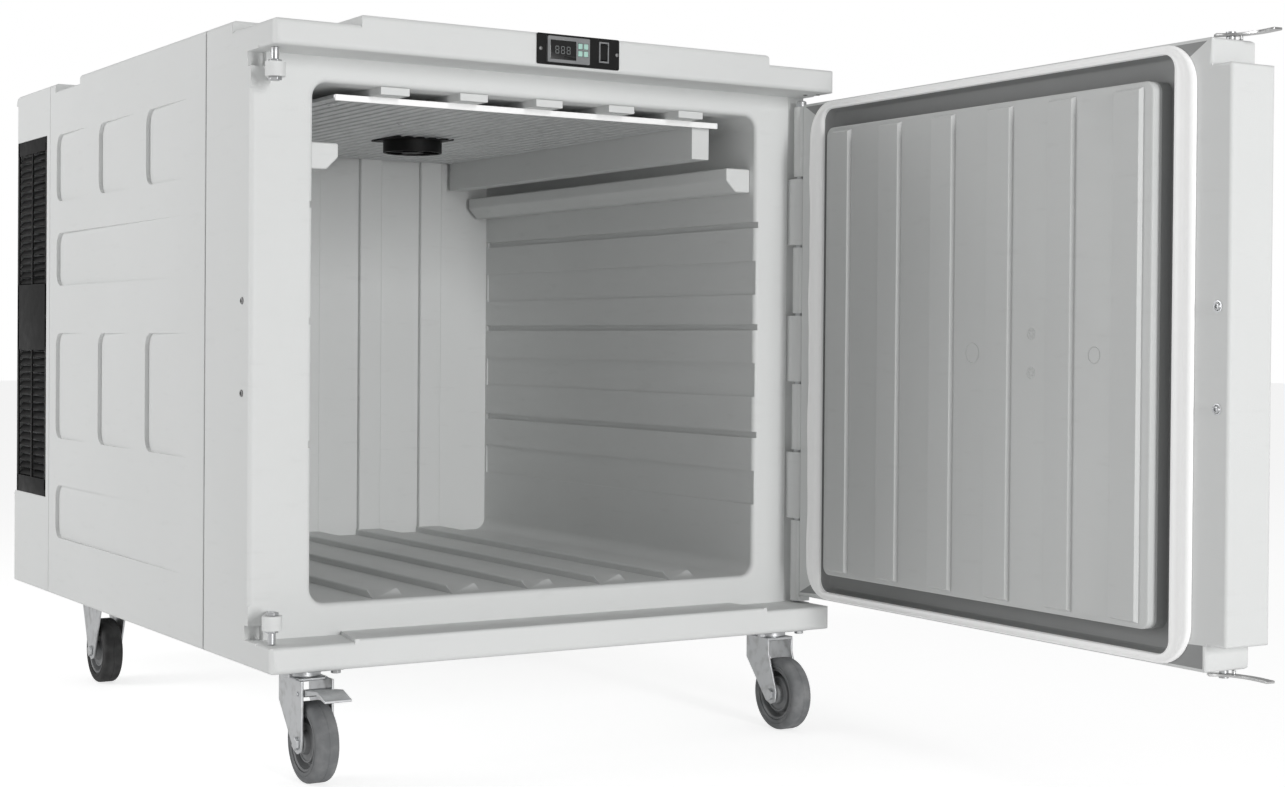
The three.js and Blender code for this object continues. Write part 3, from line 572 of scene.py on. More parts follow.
darkZinc = material(
    "darkZinc",
    metalGroup,
    {"Colour": rgba(0.3, 0.3, 0.3), "Stain": rgba(0.12, 0.11, 0.1), "Stains": 0.5, "Roughness": 0.4},
    0.12,
    0.0003,
    Metallic=0.9,
)
stainless = material(
    "stainless",
    metalGroup,
    {"Colour": rgba(0.72, 0.72, 0.72), "Stain": rgba(0.5), "Stains": 0.2, "Roughness": 0.22},
    0.08,
    0.0002,
    Metallic=1.0,
)
aluminium = material(
    "aluminium",
    metalGroup,
    {"Colour": rgba(0.66, 0.665, 0.67), "Stain": rgba(0.5), "Stains": 0.25, "Roughness": 0.4},
    0.06,
    0.0002,
    Metallic=0.55,
)
greyTyre = material(
    "greyTyre",
    dustyGroup,
    {
        "Colour": rgba(0.16, 0.165, 0.17),
        "Dust": rgba(0.36), "Dustiness": 0.4,
        "Grain Scale": 600, "Roughness": 0.75,
    },
    0.5,
    0.0006,
)
blackTyre = material(
    "blackTyre",
    dustyGroup,
    {"Colour": rgba(0.02), "Dust": rgba(0.2), "Dustiness": 0.2, "Grain Scale": 600, "Roughness": 0.7},
    0.5,
    0.0006,
)
rimPlastic = material(
    "rimPlastic",
    dustyGroup,
    {"Colour": rgba(0.2, 0.205, 0.21), "Dust": rgba(0.42), "Dustiness": 0.35, "Roughness": 0.5},
    0.2,
    0.0004,
)
bySlot = {
    "shell": shellPlastic,
    "liner": linerPlastic,
    "foam": foamCore,
    "gasket": glowingSealRubber,
    "black_plastic": blackPlastic,
    "screen": screenPlastic,
    "keys": mintPlastic,
    "grey_plastic": greyPlastic,
    "zinc": zincPlate,
    "stainless": stainless,
    "aluminium": aluminium,
    "grey_tyre": greyTyre,
    "black_tyre": blackTyre,
    "rim": rimPlastic,
}
for part in frame["record"]["subparts"]:
    dress(nodes[part["node"]], bySlot[part["material_slot"]])
print("materials made")


axisVectors = {"x": Vector((1, 0, 0)), "y": Vector((0, 1, 0)), "z": Vector((0, 0, 1))}
otherAxes = {"x": (1, 2), "y": (0, 2), "z": (0, 1)}


# the two numbers of a spot that lie across an axis, and the one along it, in metres
def spotOn(axis, across, along):
    values = [0, 0, 0]
    values["xyz".index(axis)] = along
    for i, value in zip(otherAxes[axis], across):
        values[i] = value
    return at(*values)


# a flat outline of spots, filled and pulled along a vector
def extruded(name, outline, along):
    mesh = bpy.data.meshes.new(name)
    count = len(outline)
    mesh.from_pydata(outline, [(i, (i + 1) % count) for i in range(count)], [])
    piece = bpy.data.objects.new(name, mesh)
    scene.collection.objects.link(piece)
    makeActive(piece)
    bpy.ops.object.mode_set(mode="EDIT")
    bpy.ops.mesh.select_all(action="SELECT")
    bpy.ops.mesh.edge_face_add()
    bpy.ops.mesh.extrude_region_move(TRANSFORM_OT_translate={"value": along})
    bpy.ops.mesh.select_all(action="SELECT")
    bpy.ops.mesh.normals_make_consistent(inside=False)
    bpy.ops.object.mode_set(mode="OBJECT")
    return piece


# takes one cutter away from a piece
def carve(piece, cutter):
    makeActive(piece)
    take = piece.modifiers.new("take", "BOOLEAN")
    take.operation = "DIFFERENCE"
    take.solver = "MANIFOLD"
    take.object = cutter
    bpy.ops.object.modifier_apply(modifier=take.name)
    bpy.data.objects.remove(cutter)


# rounds one straight edge: its axis, its place across, its span, the way out of the solid, and a radius
def roundEdge(piece, axis, corner, span, out, radius, steps=6):
    centre = [corner[i] - out[i] * radius for i in range(2)]
    spare = 1.5
    outline = [(corner[0] + out[0] * spare, centre[1])]
    for i in range(steps + 1):
        turn = i / steps * math.pi / 2
        reach = (out[0] * radius * math.cos(turn), out[1] * radius * math.sin(turn))
        outline.append((centre[0] + reach[0], centre[1] + reach[1]))
    outline.append((centre[0], corner[1] + out[1] * spare))
    outline.append((corner[0] + out[0] * spare, corner[1] + out[1] * spare))
    spots = [spotOn(axis, point, span[0]) for point in outline]
    carve(piece, extruded("cutter", spots, axisVectors[axis] * (span[1] - span[0]) / 1000))


# a rectangle with round corners in the XZ plane, as (x, z) points
def roundRect(xs, zs, radius, grow=0.0, steps=8):
    radius = radius + grow
    points = []
    for cx, cz, start in (
        (xs[1] + grow - radius, zs[0] - grow + radius, -90),
        (xs[1] + grow - radius, zs[1] + grow - radius, 0),
        (xs[0] - grow + radius, zs[1] + grow - radius, 90),
        (xs[0] - grow + radius, zs[0] - grow + radius, 180),
    ):
        for i in range(steps + 1):
            turn = math.radians(start + 90 * i / steps)
            points.append((cx + radius * math.cos(turn), cz + radius * math.sin(turn)))
    return points


# loops of spots joined one to the next; an open one is capped at its last loop
def lofted(name, loops, closed=True, caps=()):
    count = len(loops[0])
    spots = [spot for loop in loops for spot in loop]
    faces = []
    rows = len(loops) if closed else len(loops) - 1
    for row in range(rows):
        here, there = row * count, (row + 1) % len(loops) * count
        for i in range(count):
            j = (i + 1) % count
            faces.append((here + i, here + j, there + j, there + i))
    for cap in caps:
        faces.append([cap * count + i for i in range(count)])
    mesh = bpy.data.meshes.new(name)
    mesh.from_pydata(spots, [], faces)
    piece = bpy.data.objects.new(name, mesh)
    scene.collection.objects.link(piece)
    makeActive(piece)
    bpy.ops.object.mode_set(mode="EDIT")
    bpy.ops.mesh.select_all(action="SELECT")
    bpy.ops.mesh.normals_make_consistent(inside=False)
    bpy.ops.object.mode_set(mode="OBJECT")
    return piece


# a door piece in place is turned shut, worked on, and turned open again
def shutDoor(piece):
    swing(piece, -doorAngle)
    return piece


# sizes shared by several pieces, in millimetres from the middle of the front face at floor level
half = (shellHigh.x - shellLow.x) / 2 * 1000
top = frontHigh.z * 1000
under = frontLow.z * 1000
browFoot = top - 56
sillTop = under + 41
stackNotch = {"width": 143, "drop": 16, "frontEnd": 79, "rear": (877, 1037)}
cabinX = (-(half - 103.5), half - 103.5)
cabinZ = (under + 91.6, top - 95.5)
seamY = (195.25, 198.75)
tubBack = 1073.0
doorZ = (sillTop + 13.7, browFoot - 16)
doorX = (-half, half - 36)
doorY = (-overhang, -7.0)


frontValues = {
    "edge": 8,
    "corner": 12,
    "mouth": 9,
    "mouthCorner": 24,
    "seam": 3,
    "notchRound": 5,
    "ledge": 6,
    "foot": 10,
}


def buildFrontModule(values):
    piece = copyOf("frontModule", "front_frame")
    edge, corner = values["edge"], values["corner"]
    notchX, notchZ = half - stackNotch["width"], top - stackNotch["drop"]
    notchEnd, notchRound, ledge = stackNotch["frontEnd"], values["notchRound"], values["ledge"]
    wide = (-half - 2, half + 2)
    roundEdge(piece, "x", (-overhang, top), (-notchX - 0.5, notchX + 0.5), (-1, 1), edge)
    for side in (-1, 1):
        low, high = sorted((side * (notchX + 0.5), side * (half + 2)))
        roundEdge(piece, "x", (-overhang, notchZ), (low, high), (-1, 1), edge)
        roundEdge(piece, "x", (notchEnd, top), (low, high), (-1, 1), notchRound)
        roundEdge(piece, "y", (side * notchX, top), (-overhang - 2, notchEnd), (side, 1), notchRound)
        roundEdge(piece, "y", (side * half, notchZ), (-overhang - 2, notchEnd), (side, 1), edge)
        roundEdge(piece, "z", (side * half, -overhang), (browFoot - 2, top + 2), (side, -1), corner)
        roundEdge(piece, "z", (side * half, -overhang), (under - 2, sillTop + 2), (side, -1), corner)
        roundEdge(piece, "z", (side * half, seamY[0]), (under - 2, top + 2), (side, 1), values["seam"])
        roundEdge(piece, "y", (side * half, browFoot), (-overhang - 2, -30), (side, -1), ledge)
        roundEdge(piece, "y", (side * half, sillTop), (-overhang - 2, -30), (side, 1), ledge)
    roundEdge(piece, "x", (-overhang, browFoot), wide, (-1, -1), edge)
    roundEdge(piece, "x", (-overhang, under), wide, (-1, -1), values["foot"])
    roundEdge(piece, "x", (seamY[0], top), wide, (1, 1), values["seam"])
    for side in (-1, 1):
        low, high = sorted((side * 387.5, side * (half + 2)))  # beside the sill's raised middle
        roundEdge(piece, "x", (-overhang, sillTop), (low, high), (-1, 1), ledge)
    roundEdge(piece, "x", (-overhang, sillTop + 5), (-380, 380), (-1, 1), notchRound)
    roundEdge(piece, "z", (-half, 0), (doorZ[0] + 40, doorZ[1] - 40), (-1, -1), edge)
    # the cabin's mouth
    r = values["mouth"]
    profile = [(-3, -3), (r, -3)]
    for i in range(7):
        turn = i / 6 * math.pi / 2
        profile.append((r - r * math.sin(turn), r - r * math.cos(turn)))
    profile.append((-3, r))
    loops = []
    for grow, y in profile:
        loops.append([at(x, y, z) for x, z in roundRect(cabinX, cabinZ, values["mouthCorner"], grow)])
    carve(piece, lofted("cutter", loops))
    evenShade(piece)
    return finishPiece(piece, shellPlastic, "carrier", "shell", "front_frame")


tubValues = {"seam": 3, "edge": 4, "notchRound": (4, 5)}


def buildTub(values):
    piece = copyOf("mainTub", "outer_shell")
    wide = (-half - 2, half + 2)
    for y, out, radius in ((seamY[1], -1, values["seam"]), (tubBack, 1, values["edge"])):
        roundEdge(piece, "x", (y, top), wide, (out, 1), radius)
        roundEdge(piece, "x", (y, under), wide, (out, -1), radius)
        for side in (-1, 1):
            roundEdge(piece, "z", (side * half, y), (under - 2, top + 2), (side, out), radius)
    for side in (-1, 1):
        for y, out in zip(stackNotch["rear"], (1, -1)):
            low, high = sorted((side * (half - stackNotch["width"]), side * (half + 2)))
            roundEdge(piece, "x", (y, top), (low, high), (out, 1), values["notchRound"][0])
        rim = (side * half, top - stackNotch["drop"])
        roundEdge(piece, "y", rim, stackNotch["rear"], (side, 1), values["notchRound"][1])
    evenShade(piece)
    return finishPiece(piece, shellPlastic, "carrier", "shell", "outer_shell")


rearValues = {"edge": 8, "corner": 12, "seam": 3, "skirt": (180, 188), "inset": 14}


def buildRearHousing(values):
    piece = copyOf("rearHousing", "rear_cover")
    coverLow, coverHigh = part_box("rear_cover")
    back = (coverHigh.y - faceY) * 1000
    front = (coverLow.y - faceY) * 1000
    edge, corner, seam, inset = values["edge"], values["corner"], values["seam"], values["inset"]
    skirtTop, coverFoot = (under + rise for rise in values["skirt"])
    for side in (-1, 1):
        roundEdge(piece, "y", (side * half, top), (front - 2, back - inset - 2), (side, 1), edge)
        roundEdge(piece, "y", (side * half, under), (front - 2, back + 2), (side, -1), edge)
        roundEdge(piece, "z", (side * half, back), (under - 2, skirtTop), (side, 1), corner)
        roundEdge(piece, "z", (side * half, back - inset), (coverFoot, top - 20), (side, 1), corner)
        roundEdge(piece, "z", (side * half, front), (under - 2, top + 2), (side, -1), seam)
    roundEdge(piece, "x", (back, under), (-half - 2, half + 2), (1, -1), edge)
    roundEdge(piece, "x", (front, top), (-half - 2, half + 2), (-1, 1), seam)
    evenShade(piece)
    return finishPiece(piece, shellPlastic, "carrier", "shell", "rear_cover")


linerValues = {"ribs": 5, "pitch": 141, "floorRib": (27, 12), "wallRib": 25, "wallFace": 1015, "round": 3.5}


def buildLiner(values):
    piece = copyOf("cabinLiner", "inner_liner")
    reach, rise = values["floorRib"]
    wallFace, radius = values["wallFace"], values["round"]
    for i in range(values["ribs"]):
        middle = (i - (values["ribs"] - 1) / 2) * values["pitch"]
        for side in (-1, 1):
            floorEdge = (middle + side * reach, cabinZ[0] + rise)
            roundEdge(piece, "y", floorEdge, (38, wallFace - 1), (side, 1), radius)
            wallEdge = (middle + side * values["wallRib"], wallFace)
            roundEdge(piece, "z", wallEdge, (cabinZ[0] + 14, cabinZ[1] - 14), (side, -1), radius)
    evenShade(piece)
    return finishPiece(piece, linerPlastic, "carrier", "liner", "inner_liner")


slabValues = {
    "edge": 9,
    "inner": 5,
    "block": 38,
    "blockRound": 6,
    "sealCorner": 24,
    "plugCorner": 17,
    "channel": [(0, -3), (0, -8.5), (0.1, -19), (0.2, -22), (1, -26), (1, -3)],
}


def buildDoorSlab(values):
    piece = shutDoor(copyOf("doorSlab", "door_shell"))
    edge, inner, corner, blockRound = values["edge"], values["inner"], values["block"], values["blockRound"]
    blockX = -half + corner
    tall = (doorZ[0] + corner, doorZ[1] - corner)
    for y, out, r in ((doorY[0], -1, edge), (doorY[1], 1, inner)):
        roundEdge(piece, "z", (doorX[0], y), tall, (-1, out), r)
        roundEdge(piece, "z", (doorX[1], y), (doorZ[0] - 2, doorZ[1] + 2), (1, out), r if out < 0 else 2)
        for z, up in ((doorZ[0], -1), (doorZ[1], 1)):
            roundEdge(piece, "x", (y, z), (blockX, doorX[1] + 2), (out, up), r)
            roundEdge(piece, "x", (y, z - up * corner), (doorX[0] - 2, blockX - 0.5), (out, up), inner)
            low, high = sorted((z - up * (corner - 0.5), z + up * 2))
            roundEdge(piece, "z", (blockX, y), (low, high), (-1, out), inner)
    thick = (doorY[0] - 2, doorY[1] + 2)
    for z, up in ((doorZ[0], -1), (doorZ[1], 1)):
        roundEdge(piece, "y", (doorX[0], z - up * corner), thick, (-1, up), blockRound)
        roundEdge(piece, "y", (blockX, z), thick, (-1, up), blockRound)
    # the sunk channel between the seal and the ribbed panel
    seal = roundRect(cabinX, (doorZ[0] + 16, doorZ[1] - 16), values["sealCorner"])
    plug = roundRect((cabinX[0] + 27, cabinX[1] - 27), (cabinZ[0] + 11, cabinZ[1] - 27), values["plugCorner"])
    loops = []
    for share, y in values["channel"]:
        loop = []
        for (x0, z0), (x1, z1) in zip(seal, plug):
            loop.append(at(x0 + (x1 - x0) * share, y, z0 + (z1 - z0) * share))
        loops.append(loop)
    carve(piece, lofted("cutter", loops))
    evenShade(piece)
    # the faces of the channel take a darker plastic: painted shade for the shadow that falls in the sunk
    # channel
    least, most = at(cabinX[0] - 2, -40, doorZ[0] + 14), at(cabinX[1] + 2, -4, doorZ[1] - 14)
    sunk = []
    for face in piece.data.polygons:
        if all(least[i] < face.center[i] < most[i] for i in range(3)):
            sunk.append(face.index)
    finishPiece(onDoor(piece), shellPlastic, "door", "shell", "door_shell")
    piece.data.materials.append(channelShadePaint)
    for index in sunk:
        piece.data.polygons[index].material_index = 1
    return piece


innerValues = {
    "corner": 16,
    "rim": [(-1.5, -22), (0, -8), (0, 7.6), (-0.4, 8.9), (-1.2, 9.6), (-2.6, 10)],
    "ribs": 6,
    "pitch": 139,
    "ribHalf": 28,
    "ribRise": 18,
    "lean": (2.2, 6),
    "ribRound": 0.7,
}


def buildDoorInner(values):
    xs, zs = (cabinX[0] + 28, cabinX[1] - 28), (cabinZ[0] + 12, cabinZ[1] - 28)
    loops = []
    for grow, y in values["rim"]:
        loops.append([at(x, y, z) for x, z in roundRect(xs, zs, values["corner"], grow)])
    panel = lofted("doorInner", loops, closed=False, caps=(0, len(loops) - 1))
    smooth(panel)
    pieces = [panel]
    wide = values["ribHalf"]
    leanX, leanZ = (lean / 1000 for lean in values["lean"])
    for i in range(values["ribs"]):
        middle = (i - (values["ribs"] - 1) / 2) * values["pitch"]
        rib = block("rib", at(middle - wide, 5, zs[0] + 5), at(middle + wide, values["ribRise"], zs[1] - 5))
        # the face drawn in, so that the rib leans, with a longer slope at its ends
        centre = at(middle, 12, (zs[0] + zs[1]) / 2)
        for vertex in rib.data.vertices:
            if vertex.co.y > centre.y:
                vertex.co.x += leanX if vertex.co.x < centre.x else -leanX
                vertex.co.z += leanZ if vertex.co.z < centre.z else -leanZ
        rounded = rib.modifiers.new("round", "BEVEL")
        rounded.width = values["ribRound"] / 1000
        rounded.segments = 3
        applyModifiers(rib)
        smooth(rib)
        pieces.append(rib)
    panel = joined("doorInner", pieces)
    return finishPiece(onDoor(panel), doorPlastic, "door", "liner", "door_panel")


sealValues = {
    "side": 39,
    "band": 13,
    "corner": 60,
    "inner": 22,
    "wave": 1.4,
    "section": [
        (0, -6.7), (0, -4), (0.04, -1.6), (0.13, -0.2), (0.26, -0.4), (0.36, -1.9), (0.5, -2.6),
        (0.64, -1.9), (0.76, -0.6), (0.88, -0.3), (0.97, -1.4), (1, -3.4), (1, -6.7),
    ],
}


# points are added along the straight runs, so that the rim can waver
def divided(points, longRun=60, parts=26):
    result = []
    for i, point in enumerate(points):
        follow = points[(i + 1) % len(points)]
        count = parts if math.dist(point, follow) > longRun else 1
        for k in range(count):
            result.append(tuple(point[j] + (follow[j] - point[j]) * k / count for j in range(2)))
    return result


def buildGasket(values):
    xs = (cabinX[0] - values["side"], cabinX[1] + values["side"])
    zs = (doorZ[0] + 3, doorZ[1] - 3)
    outer = divided(roundRect(xs, zs, values["corner"], 0, 12))
    innerZ = (zs[0] + values["band"], zs[1] - values["band"])
    inner = divided(roundRect(cabinX, innerZ, values["inner"], 0, 12))
    loops = []
    for share, y in values["section"]:
        loop = []
        for (x0, z0), (x1, z1) in zip(outer, inner):
            wave = 0
            if x0 > xs[1] - 25:
                wave = values["wave"] * (math.sin(z0 / 37) + 0.6 * math.sin(z0 / 17 + 1)) * (1 - share)
            loop.append(at(x0 + (x1 - x0) * share + wave, y, z0 + (z1 - z0) * share))
        loops.append(loop)
    piece = lofted("doorSeal", loops)
    smooth(piece, 50)
    return finishPiece(onDoor(piece), glowingSealRubber, "door", "gasket", "door_gasket")


def buildRunners():
    for side in ("left", "right"):
        piece = softened("runner" + side.title(), "rail_" + side, radius=0.003, small=0.003, longEdge=0.02)
        finishPiece(piece, linerPlastic, "carrier", "liner", "rail_" + side)
    duct = softened("ductCover", "pipe_cover", radius=0.001, small=0.001, longEdge=0.02)
    finishPiece(duct, linerPlastic, "carrier", "liner", "pipe_cover")


# dark rubber in the joint between the front module and the tub
def buildSeamStrip(inset):
    loops = []
    front, back, deep = seamY[0] - 1, seamY[1] + 1, -inset - 6
    for grow, y in ((-inset, front), (-inset, back), (deep, back), (deep, front)):
        loops.append([at(x, y, z) for x, z in roundRect((-half, half), (under, top), 8, grow, 4)])
    return finishPiece(lofted("jointStrip", loops), blackPlastic, "carrier", "black_plastic")


buildFrontModule(frontValues)
buildSeamStrip(inset=1.8)
buildTub(tubValues)
buildRearHousing(rearValues)
buildLiner(linerValues)
buildDoorSlab(slabValues)
buildDoorInner(innerValues)
buildGasket(sealValues)
buildRunners()
print("moulded bodies done")


grilleValues = {
    "pitch": 14.7,
    "banks": [(396, 653), (786, 1050)],
    "margin": 11,
    "thick": 2.7,
    "slat": 2.2,
    "chord": 13,
    "lean": 38,
    "screw": 4.2,
}


def buildGrille(side, values):
    name = "grille_left" if side < 0 else "grille_right"
    low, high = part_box(name)
    y0, y1 = (low.y - faceY) * 1000, (high.y - faceY) * 1000
    z0, z1 = low.z * 1000, high.z * 1000
    outX, inX = side * half, side * (half - values["thick"])
    xs = sorted((outX, inX))
    margin = values["margin"]
    rows = [z0] + [z for bank in values["banks"] for z in bank] + [z1]
    pieces = []
    for a, b in ((y0, y0 + margin), (y1 - margin, y1)):
        pieces.append(block("rim", at(xs[0], a, z0), at(xs[1], b, z1), 0.0006, 2))
    for i in range(0, len(rows), 2):
        low, high = at(xs[0], y0 + 1, rows[i] + 0.2), at(xs[1], y1 - 1, rows[i + 1] - 0.2)
        pieces.append(block("rim", low, high, 0.0006, 2))
    middleY = (y0 + y1) / 2
    for foot, head in values["banks"]:
        low, high = at(xs[0], middleY - 4, foot - 1), at(xs[1], middleY + 4, head + 1)
        pieces.append(block("post", low, high, 0.0006, 2))
        count = round((head - foot) / values["pitch"])
        deep = side * (half - 6.5)
        slat = block(
            "slat",
            at(deep - values["slat"] / 2, y0 + margin - 2, foot + 0.2),
            at(deep + values["slat"] / 2, y1 - margin + 2, foot + 0.2 + values["chord"]),
            0.0007,
            2,
        )
        makeActive(slat)
        bpy.ops.object.mode_set(mode="EDIT")
        bpy.ops.mesh.select_all(action="SELECT")
        bpy.ops.transform.rotate(
            value=math.radians(values["lean"]) * side,
            orient_axis="Y",
            center_override=at(deep, middleY, foot + 0.2 + values["chord"] / 2),
        )
        bpy.ops.object.mode_set(mode="OBJECT")
        bank = slat.modifiers.new("bank", "ARRAY")
        bank.use_relative_offset = False
        bank.use_constant_offset = True
        bank.constant_offset_displace = (0, 0, (head - foot) / count / 1000)
        bank.count = count
        applyModifiers(slat)
        pieces.append(slat)
    for y in (y0 + margin / 2, y1 - margin / 2):
        for z in (z0 + 8, (rows[1] + rows[2]) / 2 + 130, (rows[2] + rows[3]) / 2, z1 - 8):
            pieces.append(screwHead("screw", at(outX, y, z), (side, 0, 0), values["screw"] / 1000, 0.0008))
    piece = joined("vent" + ("Left" if side < 0 else "Right"), pieces)
    return finishPiece(piece, blackPlastic, "carrier", "black_plastic", name)


# a domed screw head with a six-sided socket, seated on a face
def screwHead(name, spot, axis, radius, height, socket=0.5):
    profile = [
        (radius * 0.995, -0.0002),
        (radius, height * 0.25),
        (radius * 0.86, height * 0.75),
        (radius * 0.62, height),
        (radius * socket, height),
    ]
    head = spun(name, (0, 0, 0), (0, 0, 1), profile, steps=24)
    makeActive(head)
    bpy.ops.object.mode_set(mode="EDIT")
    bpy.ops.mesh.select_all(action="DESELECT")
    bpy.ops.object.mode_set(mode="OBJECT")
    for vertex in head.data.vertices:
        vertex.select = vertex.co.z > height * 0.9 and vertex.co.xy.length < radius * (socket + 0.05)
    bpy.ops.object.mode_set(mode="EDIT")
    bpy.ops.mesh.extrude_region_move(TRANSFORM_OT_translate={"value": (0, 0, -height * 0.7)})
    bpy.ops.mesh.edge_face_add()
    bpy.ops.mesh.select_all(action="DESELECT")
    bpy.ops.mesh.select_non_manifold()
    bpy.ops.mesh.edge_face_add()
    bpy.ops.mesh.select_all(action="SELECT")
    bpy.ops.mesh.normals_make_consistent(inside=False)
    bpy.ops.object.mode_set(mode="OBJECT")
    turn = Vector(axis).to_track_quat("Z", "Y").to_matrix().to_4x4()
    head.data.transform(Matrix.Translation(Vector(spot)) @ turn)
    return smooth(head)


for side in (-1, 1):
    buildGrille(side, grilleValues)
print("grilles done")


fixingValues = {
    "sideY": 31,
    "sideZ": (737, 594),
    "marginX": -503,
    "marginZ": (733, 592),
    "screw": 0.0058,
    "cup": [(0.0062, -0.0002), (0.0082, 0.0004), (0.0084, 0.0008), (0.0062, 0.0009)],
    "plateX": (-71, 72.5),
    "brow": ((496, -44), (512, -60)),
}


def buildFixings(values):
    radius = values["screw"]
    sides = []
    for side in (-1, 1):
        for z in values["sideZ"]:
            spot = at(side * half, values["sideY"], z)
            sides.append(screwHead("sideScrew", spot, (side, 0, 0), radius, 0.0022))
    finishPiece(joined("sideScrews", sides), darkZinc, "carrier", "zinc")
    spots = [at(values["marginX"], doorY[1], z) for z in values["marginZ"]]
    margins = [screwHead("marginScrew", spot, (0, 1, 0), radius, 0.003) for spot in spots]
    margins += [spun("cup", spot, (0, 1, 0), values["cup"], 28) for spot in spots]
    finishPiece(onDoor(joined("marginScrews", margins)), zincPlate, "door", "zinc")
    plates = []
    for x in values["plateX"]:
        plates.append(screwHead("plateScrew", at(x, -overhang - 2.2, 1150), (0, -1, 0), 0.0032, 0.0012))
    finishPiece(joined("plateScrews", plates), darkZinc, "carrier", "zinc")
    brow = [screwHead("hingeScrew", at(x, y, browFoot), (0, 0, -1), 0.004, 0.0015) for x, y in values["brow"]]
    finishPiece(joined("hingeScrews", brow), darkZinc, "carrier", "zinc")


buildFixings(fixingValues)


# rings and petals moulded in the door's inner face
markValues = {
    "rings": ((-4, 665, 0.0155), (-279, 664, 0.012)),
    "flowers": ((-142, 695), (-142, 636)),
    "bead": 0.001,
    "petals": 6,
    "petalRing": 5.2,
    "faceY": 9.9,
}


def markRing(x, y, z, radius, bead, steps, sides):
    deselectAll()
    bpy.ops.mesh.primitive_torus_add(
        location=at(x, y, z),
        rotation=(math.pi / 2, 0, 0),
        major_radius=radius,
        minor_radius=bead,
        major_segments=steps,
        minor_segments=sides,
    )
    return applyPlace(bpy.context.active_object)


def buildMarks(values):
    y, reach = values["faceY"], values["petalRing"]
    pieces = []
    for x, z, radius in values["rings"]:
        pieces.append(markRing(x, y, z, radius, values["bead"], 48, 8))
    for x, z in values["flowers"]:
        for i in range(values["petals"]):
            turn = i / values["petals"] * 2 * math.pi
            spot = at(x + reach * math.cos(turn), y, z + reach * math.sin(turn))
            deselectAll()
            bpy.ops.mesh.primitive_uv_sphere_add(segments=12, ring_count=8, radius=0.0024, location=spot)
            petal = bpy.context.active_object
            petal.scale = (1, 0.4, 1)
            pieces.append(applyPlace(petal))
        pieces.append(markRing(x, y, z, 0.0088, 0.0006, 32, 6))
    piece = joined("mouldMarks", pieces)
    smooth(piece, 60)
    return finishPiece(onDoor(piece), doorPlastic, "door", "liner")


buildMarks(markValues)
print("fixings and marks done")


plateValues = {
    "channel": 24.5,
    "margin": 22,
    "bead": 4.2,
    "rise": 2.0,
    "bolts": [(-340, 120), (-340, 900), (340, 120), (-120, 320), (120, 830)],
}


def buildColdPlate(values):
    low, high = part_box("evaporator_plate")
    y0, y1 = (low.y - faceY) * 1000, (high.y - faceY) * 1000
    foot = low.z * 1000
    x0, x1 = (low.x - middleX) * 1000, (high.x - middleX) * 1000
    sheet = softened("coldPlate", "evaporator_plate", radius=0.0012, small=0.0012, longEdge=0.001)
    pieces = [sheet]
    bead = values["bead"] / 1000
    count = int((x1 - x0 - 2 * values["margin"]) / values["channel"])
    start = -count * values["channel"] / 2
    ends = [at(start, y, foot) for y in (y0 + 32, y1 - 34)]
    tube = bar("tube", ends[0], ends[1], bead, 12)
    for end in ends:
        deselectAll()
        bpy.ops.mesh.primitive_uv_sphere_add(segments=12, ring_count=8, radius=bead, location=end)
        tube = joined("tube", [tube, bpy.context.active_object])
    applyPlace(tube)
    # flattened against the sheet
    flat = Matrix.Diagonal((1, 1, values["rise"] / values["bead"], 1))
    sheetLevel = Matrix.Translation((0, 0, foot / 1000))
    squeeze = sheetLevel @ flat @ sheetLevel.inverted()
    tube.data.transform(squeeze)
    bank = tube.modifiers.new("bank", "ARRAY")
    bank.use_relative_offset = False
    bank.use_constant_offset = True
    bank.constant_offset_displace = (values["channel"] / 1000, 0, 0)
    bank.count = count + 1
    applyModifiers(tube)
    smooth(tube, 60)
    pieces.append(tube)
    for y in (y0 + 18, y1 - 18):
        header = bar("header", at(x0 + 20, y, foot), at(x1 - 20, y, foot), bead, 12)
        header.data.transform(squeeze)
        pieces.append(header)
    for x, y in values["bolts"]:
        pieces.append(bar("bolt", at(x, y, foot - 4), at(x, y, foot + 1), 0.006, 6, 0.0006))
        pieces.append(bar("washer", at(x, y, foot - 2.4), at(x, y, foot + 1), 0.0095, 24, 0.0004))
    piece = joined("coldPlate", pieces)
    return finishPiece(piece, aluminium, "carrier", "aluminium", "evaporator_plate")


def buildColdPlateLip():
    low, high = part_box("evaporator_plate")
    start = (low.x + 0.002, low.y - 0.0022, low.z - 0.0035)
    end = (high.x - 0.002, low.y + 0.0012, high.z + 0.0005)
    piece = block("plateLip", start, end, 0.001, 3)
    return finishPiece(piece, glowingSealRubber, "carrier", "gasket")


